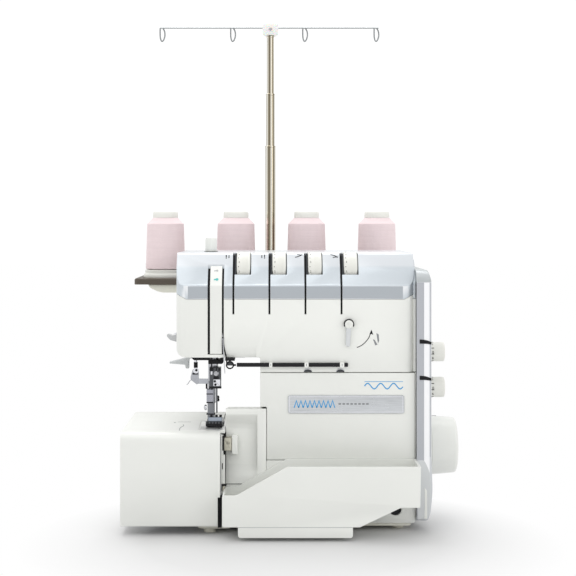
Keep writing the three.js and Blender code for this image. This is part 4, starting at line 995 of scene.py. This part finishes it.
# ---------------------------------------------------------------- needle zone
def make_needle_clamp():
    """The needle clamp with its screws, saw cuts and shadowed foot, and the two needles below it."""
    clamp = Span("needle_clamp")
    x, front = clamp.x, clamp.front
    refine("needle_clamp", "blued", bevel=0.6)
    cuts = bmesh.new()
    for left, right, low, high in ((-67.6, -63.6, 159.8, 163.2), (-61, -59.8, 159.8, 163.2),
                                   (-58.6, -57, 159.8, 163.2),
                                   (-63.6, -58, 151.2, 154.2)):
        front_prism(cuts, rectangle(left, right, low, high, 0.3), front + 0.5, front - 0.08)
    # painted shade: a black strip along the clamp's foot, in the same piece as the cuts
    front_prism(cuts, rectangle(clamp.left + 0.2, clamp.right + 0.6, clamp.bottom - 0.4, clamp.bottom + 1.4,
                                0.3), front + 3,
                front - 0.5)
    add("needle_clamp_cuts_and_shade", cuts, "black", "needle_bar_set")
    faces = (rectangle(-63.8, -56.6, 144, 151, 0.6), rectangle(-66.6, -64.6, 155.8, 159.4, 0.4))
    plates("needle_clamp_face", "steel", faces, front + 0.5, front - 0.35, body="needle_bar_set", bevel=0.2)
    screws("needle_clamp_screw", "steel", [(x + 1.2, front + 0.05, 157.2)], -Y, 2.4, 1.6,
           body="needle_bar_set", cross=False)
    rings = bmesh.new()
    for at in ((x - 0.2, front - 0.3, 149), (x + 0.4, front - 0.3, 145.6)):
        lathe(rings, [(0, 0), (1.3, 0), (1.3, 0.25), (0, 0.25)], at, -Y, 24)
    add("needle_set_screws", rings, "black", "needle_bar_set")
    for node in ("needle_left", "needle_right"):
        refine(node, "blued", bevel=0)
    refine("needle_bar", "steel", bevel=0.3)
    blocks("needle_bar_bush", "black", [((-69, -54.6), (43.6, 62), (166.8, 171.2)),
                                        ((-56.4, -53.6), (42, 56), (167.6, 175.6))], bevel=0.4)


def make_needle_threader():
    """The needle threader: its black pin, screw, folded bracket and wire hook."""
    span = Span("needle_threader")
    x, y = -82.5, 52
    bracket = bmesh.new()
    plate_points = outline((-85.6, 161, 2), (-88, 152, 1), (-87.6, 149.4, 0.6), (-81.4, 144.6, 0.8),
                           (-79.4, 146, 0.6),
                           (-79.2, 160.8, 1.4))
    front_prism(bracket, plate_points, span.back - 2, span.front + 3)
    front_prism(bracket, outline((-81, 145.4), (-69.4, 145.4, 0.4), (-69.4, 150.6, 0.4), (-80, 150.8)),
                span.back - 3, span.back - 3.8)
    add("needle_threader_bracket", bracket, "plate", "threader_hook", bevel=0.3,
        replaces=("needle_threader",))
    turned("needle_threader_stem", "steel", [(0, 0), (1.5, 0), (1.5, 36), (0, 36)], (x, y, 160), Z,
           sides=24, body="threader_hook")
    turned("needle_threader_pin", "black", [(0, 0), (1.9, 0), (2.1, 0.4), (2.1, 5.6), (1.8, 6), (0, 6)],
           (x, y, 162), Z, sides=24,
           body="threader_hook")
    turned("needle_threader_washer", "steel", [(0, 0), (3, 0), (3, 0.8), (0, 0.8)],
           (x + 0.4, y - 2.2, 159.4), -Y, sides=28,
           body="threader_hook")
    screws("needle_threader_screw", "black", [(x + 0.8, y - 2.9, 159.8)], -Y, 1.3, 0.9,
           body="threader_hook", cross=False)
    plate("needle_threader_slot", "black", rectangle(-85.8, -80.2, 155.2, 156.6, 0.4), y, y - 2.9,
          body="threader_hook")
    hook = [(-86.6, 49.6, 150.2), (-88.6, 49.4, 148.6), (-90.4, 49, 145.8), (-91.8, 48.6, 144.6)]
    bent_wire("needle_threader_wire", "steel", hook, 0.4, body="threader_hook")


def make_presser():
    """The presser bar with its collar and screws, and the dark foot with its shoulder and toes."""
    foot = Span("presser_foot")
    bar = Span("presser_bar")
    refine("presser_bar", "steel", bevel=0.3)
    refine("presser_foot", "blued", bevel=0.35, name="presser_foot_body")
    collar = ((bar.x - 4.6, bar.x + 4.2), (bar.y - 5, bar.y + 5), (foot.top + 0.2, foot.top + 14))
    blocks("presser_collar", "collar_steel", [collar], body="presser_set", bevel=0.7)
    levels = (foot.top - 12.6, foot.top - 0.6, foot.top + 8.4)
    seams = [((bar.x - 4.75, bar.x + 4.35), (bar.y - 5.2, bar.y + 2), (z, z + 1.1)) for z in levels]
    seams += [((bar.x - 5.4, bar.x - 3.6), (bar.y - 5.6, bar.y - 2), (foot.top + 14.4, foot.top + 21)),
              ((bar.x + 5.4, bar.x + 6.8), (bar.y - 3, bar.y - 1), (foot.top - 11, foot.top + 14))]
    blocks("presser_joints", "black", seams, body="presser_set", bevel=0.15, segments=1)
    screws("presser_collar_screw", "steel", [(bar.x - 4.6, bar.y - 1, foot.top - 5.6)], -X, 2.9, 3,
           body="presser_set", cross=False)
    screws("presser_lever_screws", "black", [(bar.x + 6.6, bar.y - 1.5, foot.top + 2.4),
                                             (bar.x + 6.4, bar.y - 1.5, foot.top + 5.2)],
           X, 1.7, 2.4, body="presser_set")
    plate("presser_foot_shoulder", "slate_steel", rectangle(foot.left + 2.4, foot.right - 0.4, 108.8, 113.6,
                                                            0.5),
          36, 31.4, body="presser_set", bevel=0.4)
    toes = bmesh.new()
    for k in range(5):
        left = foot.left + 1.6 + 3.2 * k
        front_prism(toes, rectangle(left, left + 1.5, 105.4 + (k % 2) * 0.8, 109.4), 33, 29.6)
    front_prism(toes, rectangle(foot.left + 0.3, foot.right - 0.3, 104.4, 107, 0.3), 33, 30)
    for x in (foot.left + 4.4, foot.left + 9.6, foot.left + 13.8):
        front_prism(toes, rectangle(x, x + 2.6, 113.8, 115.6, 0.3), 37, 33)
    add("presser_toes", toes, "black", "presser_set", bevel=0.2, segments=1)
    refine("presser_lifter", "pale_grey", bevel=0.7)


def make_plate_and_feed():
    """The needle plate with its screws and guide lines, the feed dog's teeth, the knives and the loopers."""
    span = Span("needle_plate")
    refine("needle_plate", "satin_steel", bevel=0.3)
    seam_z = (99.6, span.top - 0.15)
    blocks("needle_plate_seam", "white", [
        ((span.left - 0.42, span.left - 0.06), (span.front - 0.4, span.back + 0.4), seam_z),
        ((span.left - 0.05, span.right), (span.front - 0.42, span.front - 0.06), seam_z),
    ])
    screws("needle_plate_screws", "steel", [(span.right - 3.2, span.front + 4, span.top - 0.4),
                                            (span.left + 3.4, span.back - 4, span.top - 0.4)], Z, 2.2, 0.7,
           cross=False)
    lines = []
    for k in range(5):
        y = span.front + 6 + 3 * k
        long = 5 if k % 2 else 7
        lines.append(((span.left + 1.4, span.left + long), (y, y + 0.4), (span.top - 0.05, span.top + 0.08)))
    blocks("needle_plate_lines", "soft_ink", lines)
    feed = Span("feed_dog")
    refine("feed_dog", "dark_steel", bevel=0.2)
    teeth = bmesh.new()
    for x in (-69, -55.5):
        for k in range(15):
            y = feed.front + 3.5 + 1.9 * k
            tooth = [(y, feed.top - 0.3), (y + 1.7, feed.top - 0.3), (y + 1.5, feed.top + 0.5),
                     (y + 0.3, feed.top - 0.1)]
            prism(teeth, tooth, (x - 1.4, 0, 0), Y, Z, 2.8)
    add("feed_teeth", teeth, "steel", "feed")
    for node in ("upper_looper", "lower_looper", "lower_knife"):
        refine(node, "steel", bevel=0.25)
    refine("upper_knife", "dark_steel", bevel=0.3)


# ---------------------------------------------------------------- chip guard and free arm
def make_chip_guard_details():
    """The cheek beside the arm, the knife holder in its frame, and the dark gaps around them."""
    front = Span("chip_guard").front
    steps = ((-52.1, (79, 98.9)), (-50.3, (50, 78.95)), (-50.3, (40.4, 42.3)))
    blocks("arm_side_cheek", "white", [((-54.6, right), (8.6, 12), z) for right, z in steps], bevel=0.25)
    plate("knife_holder", "tan", rectangle(-51.9, -44.2, 81.2, 94.2, 0.6), front + 9, front + 0.9, bevel=0.4)
    plate("knife_holder_frame", "white", rectangle(-44, -37.8, 77.2, 96.6, 1.6), front + 9, front + 2.2,
          bevel=0.7)
    screws("knife_holder_screw", "tan", [(-47.4, front + 1, 89.4)], -Y, 1.9, 0.9, cross=False)
    blacks = bmesh.new()
    for x, z in (((-53, -52), (83.6, 98.7)), ((-53.3, -52.4), (64.8, 70.8)), ((-53.4, -49), (48, 49.7))):
        front_prism(blacks, rectangle(*x, *z), 8.8, 8.3)
    front_prism(blacks, rectangle(-49.8, -18.3, 47.4, 48), front + 0.05, front - 0.12)
    add("chip_guard_gaps", blacks, "black")
    plate("looper_shaft_end", "tan", rectangle(-53, -50.3, 42.6, 47.6, 0.5), 12, 8.8, bevel=0.3)


def make_arm_details():
    """The cloth guide marks on the free arm, and a black plate of painted shade in the gap at its foot
    beside the tray.
    """
    top = ARM.top + 0.02
    marks = bmesh.new()
    prism(marks, circle((-105.2, 64.5), 1.1, 20), (0, 0, top), X, Y, 0.14)
    prism(marks, rectangle(-102.3, -88.6, 67.6, 68.1), (0, 0, top), X, Y, 0.14)
    curve = [(-95.2, 50, 0), (-94.6, 42, 0), (-97, 30, 0), (-96.6, 13, 0)]
    prism(marks, stroke(smooth_path(curve, 5), 0.7), (0, 0, top), X, Y, 0.14)
    add("cloth_marks", marks, "soft_ink", "arm_cover")
    # painted shade: a black plate behind the gap at the arm's foot
    plate("arm_gap_painted_shade", "black", rectangle(ARM.right - 2.5, ARM.right + 1.2, 6, 38.2), 9.4, 8.4)


# ---------------------------------------------------------------- tray, base and side
def make_tray_details():
    """The line along the tray's foot, the finger hole behind its lower corner, and the machine's feet."""
    front = TRAY.front
    plate("tray_lines", "faint_ink", rectangle(-36, 76, 13.9, 14.5), front + 0.1, front - 0.12, body="tray")
    plate("base_finger_hole", "black", circle((122.3, 21.6), 6, 32), HEAD.front + 1.9, HEAD.front + 1.4)
    for node in ("foot_front_left", "foot_front_right", "foot_rear_left", "foot_rear_right"):
        foot = Span(node)
        radius = foot.width / 2
        profile = [(0, 0), (radius - 1, 0), (radius - 0.2, 0.5), (radius, 1.2), (radius - 0.5, 2.4),
                   (radius - 0.3, foot.height - 0.3),
                   (radius - 0.8, foot.height), (0, foot.height)]
        turned(node + "_pad", "ivory_rubber", profile, (foot.x, foot.y, foot.bottom), Z, sides=40,
               replaces=(node,))


POINTER_Z = (192.8, 156.1)


def make_side_panel():
    """The side panel, its stripes, the leaf-shaped skirt with its painted highlight, the dials' pointers and
    the fillets beside it.
    """
    refine("side_panel", "panel_body", bevel=1.2, merge=0.5)
    front = PANEL.front
    plate("side_panel_bright_strip", "panel_bright", rectangle(150.9, 156.5, 60, 252.4), front + 0.1,
          front - 0.22, bevel=0.1)
    stripes = bmesh.new()
    front_prism(stripes, rectangle(143.6, 150.7, 16, 252.4), front + 0.1, front - 0.25)
    front_prism(stripes, rectangle(156.7, 157.5, 76, 252.4), front + 0.1, front - 0.2)
    add("side_panel_stripes", stripes, "panel_grey", bevel=0.1, segments=1)
    blocks("side_fillets", "white", [((142.65, 143.4), (20.6, 60), (12, 161)),
                                     ((140.9, 143.4), (22, 34), (161.5, 235.5))], bevel=0.3)
    silver = bmesh.new()
    filler = [(24, 235.8), (60, 235.8), (60, 275), (38, 275), (33, 266), (24, 251)]
    prism(silver, filler, (140.9, 0, 0), Y, Z, 2.5)
    add("side_fillet_top", silver, "silver", bevel=0.3)
    pointers = [outline((146.4, z - 2.1, 0.4), (152, z - 2.2, 2), (158.4, z - 3, 0.4), (158.4, z - 0.6, 0.6),
                        (153, z + 1.6, 3), (146.4, z + 2.1, 0.4)) for z in POINTER_Z]
    plates("dial_pointers", "black", pointers, front + 0.6, front - 0.8, bevel=0.3)
    leaf = outline((144.4, 72.4, 1), (151, 73, 3), (156.4, 62, 5), (158.2, 48, 5), (156.4, 20.4, 3),
                   (154.6, 13, 2),
                   (144.4, 13, 1))
    plate("side_skirt", "pale_grey", leaf, front + 0.6, front - 0.5, bevel=0.5, segments=3)
    # painted highlight: a white strip for the streak of light on the skirt's bulge
    skirt_highlight_outline = outline((151, 13.6, 0.6), (154, 13.6, 0.6), (153.8, 42, 1.4), (151.4, 45, 1), (151.6, 30, 3))
    plate("side_skirt_painted_highlight", "white", skirt_highlight_outline, front, front - 0.8, bevel=0.25)


def make_side_face():
    """A recessed outline round the side panel's face, its screws, and a ring behind each dial."""
    face = PANEL.right
    low, high = 22, 252
    proud = (face - 0.2, face + 0.12)
    uprights = [(proud, (y, y + 0.8), (low, high)) for y in (26, 167.4)]
    levels = [(proud, (26, 168.2), (z, z + 0.8)) for z in (low, high)]
    blocks("side_face_outline", "panel_grey", uprights + levels)
    screws("side_face_screws", "steel", [(face, 34, 242), (face, 160, 242), (face, 34, 31)], X, 2.8, 1.1)
    for node in ("stitch_length_dial", "differential_dial"):
        dial = Span(node)
        radius = dial.height / 2
        ring = [(radius + 0.5, 0), (radius + 2.2, 0), (radius + 2, 0.35), (radius + 0.7, 0.35)]
        turned(node + "_ring", "panel_grey", ring, (face - 0.05, dial.y, dial.z), X, closed=True)


def make_side_dials():
    """The stitch length and differential dials, finely ribbed at the rim and numbered at the left edge."""
    for node, body, name in (("stitch_length_dial", "stitch_length", "length"),
                             ("differential_dial", "differential", "differential")):
        dial = Span(node)
        radius = dial.height / 2
        long = dial.width
        profile = [(0, 0), (3.8, 0), (3.8, 0.6), (radius - 0.6, 0.8), (radius - 0.1, 1.3), (radius, 2),
                   (radius, long - 1),
                   (radius - 0.3, long - 0.4), (radius - 1.2, long), (radius - 3, long), (0, long - 0.4)]
        turned(name + "_knob", "dial", profile, (dial.left, dial.y, dial.z), X, body=body, replaces=(node,))
        flutes, marks = bmesh.new(), bmesh.new()
        for k in range(40):
            angle = 2 * math.pi * k / 40
            out = Vector((0, -math.cos(angle), math.sin(angle)))
            around = Vector((0, math.sin(angle), math.cos(angle)))
            rim = Vector((dial.left, dial.y, dial.z)) + out * (radius - 0.2)
            tube(flutes, [rim + X * 16, rim + X * (long - 1.8)], 0.3, 6)
            if k % 6 == 0:
                number(marks, str(k // 6), rim + out * 0.3 + X * 12.4, X, around, 4)
            elif k % 3 == 0:
                prism(marks, rectangle(10.6, 13.6, -0.35, 0.35), rim + out * 0.18, X, around, 0.2)
        add(name + "_ribs", flutes, "dial", body)
        add(name + "_scale", marks, "ink", body)


def make_handwheel():
    """The handwheel: a domed rim with a grooved edge, a dished outer face and a cap over the shaft."""
    wheel = Span("handwheel")
    radius, long = wheel.height / 2, wheel.width
    profile = [(5.4, 0), (radius - 5, 0), (radius - 1.4, 0.3), (radius - 0.3, 1.2), (radius, 2.4),
               (radius - 0.02, 3.4),
               (radius - 0.5, 3.6), (radius - 0.5, 4.1), (radius - 0.1, 4.3), (radius - 0.7, 12),
               (radius - 1.4, 20),
               (radius - 2, 28), (radius - 2.3, 30), (radius - 3, 31.2), (radius - 4.4, 31.9),
               (radius - 9, 32.4),
               (radius - 15, 32.8), (14, 33), (12.6, 32.6), (12, 30.6), (9.4, 30), (5.4, 30)]
    at = (wheel.left, wheel.y, wheel.z)
    turned("handwheel_rim", "white", profile, at, X, sides=120, closed=True, body="handwheel_set",
           replaces=("handwheel",))
    cap = [(0, 29), (9.6, 29), (9.8, 31.6), (9.2, 32.8), (7, 33.4), (0, long)]
    turned("handwheel_cap", "grey", cap, at, X, body="handwheel_set")
    marks = bmesh.new()
    prism(marks, rectangle(6, 12, -0.6, 0.6), (wheel.left, wheel.y, wheel.z + radius - 0.35), X, Y, 0.2)
    arrow = [(6, -2.4), (6, 2.4), (11, 0)]
    prism(marks, arrow, (wheel.left + 32.9, wheel.y, wheel.z + 12), Y, Z, 0.35)
    add("handwheel_marks", marks, "soft_ink", "handwheel_set")
    for node, finish in (("main_shaft", "steel"), ("shaft_bearing", "steel"), ("drive_pulley", "charcoal"),
                         ("motor_pulley", "steel"),
                         ("motor_case", "blued")):
        refine(node, finish, bevel=0.3)
    refine("drive_belt", "rubber", bevel=0.3)


def make_power_end():
    """The rocker switch with its I and O marks, and the appliance inlet with its pins."""
    rocker, inlet = Span("power_switch"), Span("inlet_socket")
    refine("power_switch", "black", bevel=0.7, merge=0.2)
    marks = bmesh.new()
    face = rocker.right - 0.05
    prism(marks, rectangle(-1.6, 1.6, -0.35, 0.35), (face, rocker.y + 6, rocker.z), Z, -Y, 0.2)
    prism(marks, circle((0, 0), 2, 24), (face, rocker.y - 6, rocker.z), Y, Z, 0.16)
    add("switch_marks", marks, "dial", "rocker")
    refine("inlet_socket", "black", bevel=0.4)
    long, tall = (inlet.left + 2.4, inlet.right - 2.4), (inlet.z - 1, inlet.z + 1)
    pins = [(long, (y - 1.9, y + 1.9), tall) for y in (inlet.y - 4.5, inlet.y + 4.5)]
    blocks("inlet_pins", "steel", pins, bevel=0.3)


# ---------------------------------------------------------------- back
def make_back():
    """Screws, cooling louvres and a plain rating plate on the back."""
    arm_back = Span("rear_arm_cover").back
    screws("back_screws", "steel", [(-84, arm_back, 190), (-84, arm_back, 250), (128, arm_back, 190),
                                    (128, arm_back, 30),
                                    (0, arm_back, 30)], Y, 3, 1.3)
    vents = [rectangle(36, 116, z, z + 2.4, 1.1) for z in [46 + 6 * k for k in range(9)]]
    plates("cooling_louvres", "charcoal", vents, BACK + 0.35, BACK - 0.2, bevel=0.12, segments=1)
    plate("rating_plate", "brushed", rectangle(30, 82, 116, 138, 2), arm_back + 0.5, arm_back - 0.1,
          bevel=0.12)


# ---------------------------------------------------------------- thread stand
DECK_X, DECK_Y, DECK_Z = (-162.4, 152), (190, 285), (242, 248)
DECK_CORNER, DECK_LIP = 6, 0.8
SHOULDER = 311.9  # where a cone's thread starts to slope in
TURNS = 62  # steps of the wound surface from its foot to the shoulder
CONES = [Span(f"thread_cone_{i + 1}") for i in range(4)]
POLE = Span("pole_base_tube")


def make_deck():
    """The taupe deck with its raised top, and the pale support under it that hangs on the machine's back."""
    bm = bmesh.new()
    (left, right), (front, back), (bottom, top) = DECK_X, DECK_Y, DECK_Z
    prism(bm, rectangle(left, right, front, back, DECK_CORNER, steps=8), (0, 0, bottom), X, Y, top - bottom)
    raised = rectangle(left + DECK_LIP, right - DECK_LIP, front + DECK_LIP, back - DECK_LIP,
                       DECK_CORNER - 0.6,
                       steps=8)
    prism(bm, raised, (0, 0, top - 0.05), X, Y, 1.05)
    add("stand_deck", bm, "brown", bevel=0.7, segments=3, replaces=("spool_platform",))
    bowl = outline((-146.6, 241.95), (-144.4, 238, 1.5), (-133, 232.5, 6), (122.6, 232.5, 6),
                   (134, 238, 1.5), (136.2, 241.95), steps=8)
    plate("stand_support", "ivory", bowl, 277, 194, bevel=1.2, segments=3)
    neck = bmesh.new()
    prism(neck, rectangle(-60, 100, 178.4, 196, 2), (0, 0, 204), X, Y, 37.9)
    add("stand_neck", neck, "ivory", bevel=1)


def make_cones():
    """Four cones of pink thread on their white discs and pins, each under a white net cap."""
    rest, pins = bmesh.new(), bmesh.new()
    for i, cone in enumerate(CONES):
        at = (cone.x, cone.y, 0)
        lathe(rest, [(0, 249), (25.6, 249), (25.8, 249.8), (25.6, 252), (24.6, 253.6), (23.9, 254),
                     (23.9, 257.4), (23.3, 257.95),
                     (0, 257.95)], at, Z, 72)
        lathe(pins, [(0, 257.5), (3.1, 257.5), (3.1, 313.6), (2.4, 314.8), (0, 314.9)], at, Z, 24)
        foot = cone.bottom + 0.4
        profile = [(4.4, foot), (22.6, foot)]
        for k in range(TURNS + 1):
            share = k / TURNS
            ridge = -0.16 if k % 8 == 4 else 0.08 if k % 2 else -0.04
            profile.append((23.3 - 1.5 * share + ridge, foot + 0.6 + (SHOULDER - foot - 0.6) * share))
        for k in range(1, 11):
            ridge = 0.1 if k % 2 else 0
            profile.append((21.9 - 0.66 * k + ridge, SHOULDER + 0.68 * k))
        profile += [(14.8, SHOULDER + 7.2), (4.4, SHOULDER + 7.2)]
        turned(f"thread_winding_{i + 1}", "thread", profile, at, Z, sides=80, closed=True,
               body=f"cone_{i + 1}",
               replaces=(f"thread_cone_{i + 1}",))
        cap = [(4.6, SHOULDER + 7.4), (14.7, SHOULDER + 7.4), (14.9, SHOULDER + 8), (14.7, cone.top - 1.6),
               (14, cone.top - 0.6),
               (12.6, cone.top), (6.4, cone.top), (5.4, cone.top - 1.4), (4.6, cone.top - 4)]
        turned(f"cone_cap_{i + 1}", "dial", cap, at, Z, sides=64, closed=True, body=f"cone_{i + 1}")
    add("cone_rests", rest, "dial")
    add("cone_pins", pins, "dial")


POLE_TUBES = (("pole_base_tube", "machine"), ("pole_middle_tube", "pole_middle"),
              ("pole_top_tube", "pole_top"))


def make_pole():
    """The telescopic pole: three chromed tubes, each with a rolled lip at its upper end."""
    for node, body in POLE_TUBES:
        tube_span = Span(node)
        radius = tube_span.width / 2
        wall = 0.5
        low, high = tube_span.bottom, tube_span.top
        profile = [(radius - wall, low), (radius, low), (radius, high - 2.2), (radius + 0.35, high - 1.8),
                   (radius + 0.35, high - 0.4),
                   (radius, high), (radius - wall, high)]
        turned(node + "_chrome", "chrome", profile, (tube_span.x, tube_span.y, 0), Z, sides=72, closed=True,
               body=body,
               replaces=(node,))
    turned("pole_collar", "brown", [(POLE.width / 2 + 0.1, 248.9), (POLE.width / 2 + 3, 248.9),
                                    (POLE.width / 2 + 2.6, 252),
                                    (POLE.width / 2 + 1.4, 253.4), (POLE.width / 2 + 0.1, 253.4)],
           (POLE.x, POLE.y, 0), Z, closed=True)


EYELETS = (-135, -50.4, 36, 121.6)
WIRE_RADIUS = 0.85


def make_thread_guides():
    """The guide block on the pole and its long wire, bent down into a teardrop at each thread's place."""
    x, y, level = POLE.x, 250, 547
    guide = outline((x - 9.2, 539.6, 2), (x - 6, 537.6, 1), (x + 6, 537.6, 1), (x + 9.2, 539.6, 2),
                    (x + 9.2, 551.2, 3), (x - 9.2, 551.2, 3))
    plate("guide_block", "clear_white", guide, y + 8, y - 8, body="pole_top", bevel=0.9, segments=3,
          replaces=("thread_guide_arms",))
    screws("guide_block_screw", "steel", [(x, y - 8, 544.4)], -Y, 2, 1, body="pole_top")
    wire = bmesh.new()
    for start, end in ((EYELETS[0] - 2.6, x - 9.4), (x + 9.4, EYELETS[-1] + 2.6)):
        tube(wire, [Vector((start, y, level)), Vector((end, y, level))], WIRE_RADIUS)
    for centre in EYELETS:
        drop = [(centre - 2.6, y - 0.9, level - 0.3), (centre - 2.7, y - 1, level - 6),
                (centre - 2.4, y - 0.9, level - 12),
                (centre - 0.9, y - 0.6, level - 15.9), (centre + 1.3, y - 0.3, level - 14.6),
                (centre + 2.9, y, level - 9.4),
                (centre + 2.5, y + 0.6, level - 4), (centre + 0.6, y + 1.2, level - 0.4)]
        tube(wire, smooth_path(drop, 6), WIRE_RADIUS)
    add("guide_wire", wire, "wire", "pole_top")


# ---------------------------------------------------------------- making the scene
place_camera()
mix_materials()
place_lights()
place_floor()
make_shells()
make_front_band()
make_slope_prints()
make_tension_dials()
make_dial_wells()
make_take_up()
make_pressure_knob()
make_head_wires()
make_lamp()
make_thread_cutter()
make_looper_rail()
make_threader_lever()
make_lever_prints()
make_name_plate()
make_cover_prints()
make_needle_clamp()
make_needle_threader()
make_presser()
make_plate_and_feed()
make_chip_guard_details()
make_arm_details()
make_tray_details()
make_side_panel()
make_side_face()
make_side_dials()
make_handwheel()
make_power_end()
make_back()
make_deck()
make_cones()
make_pole()
make_thread_guides()
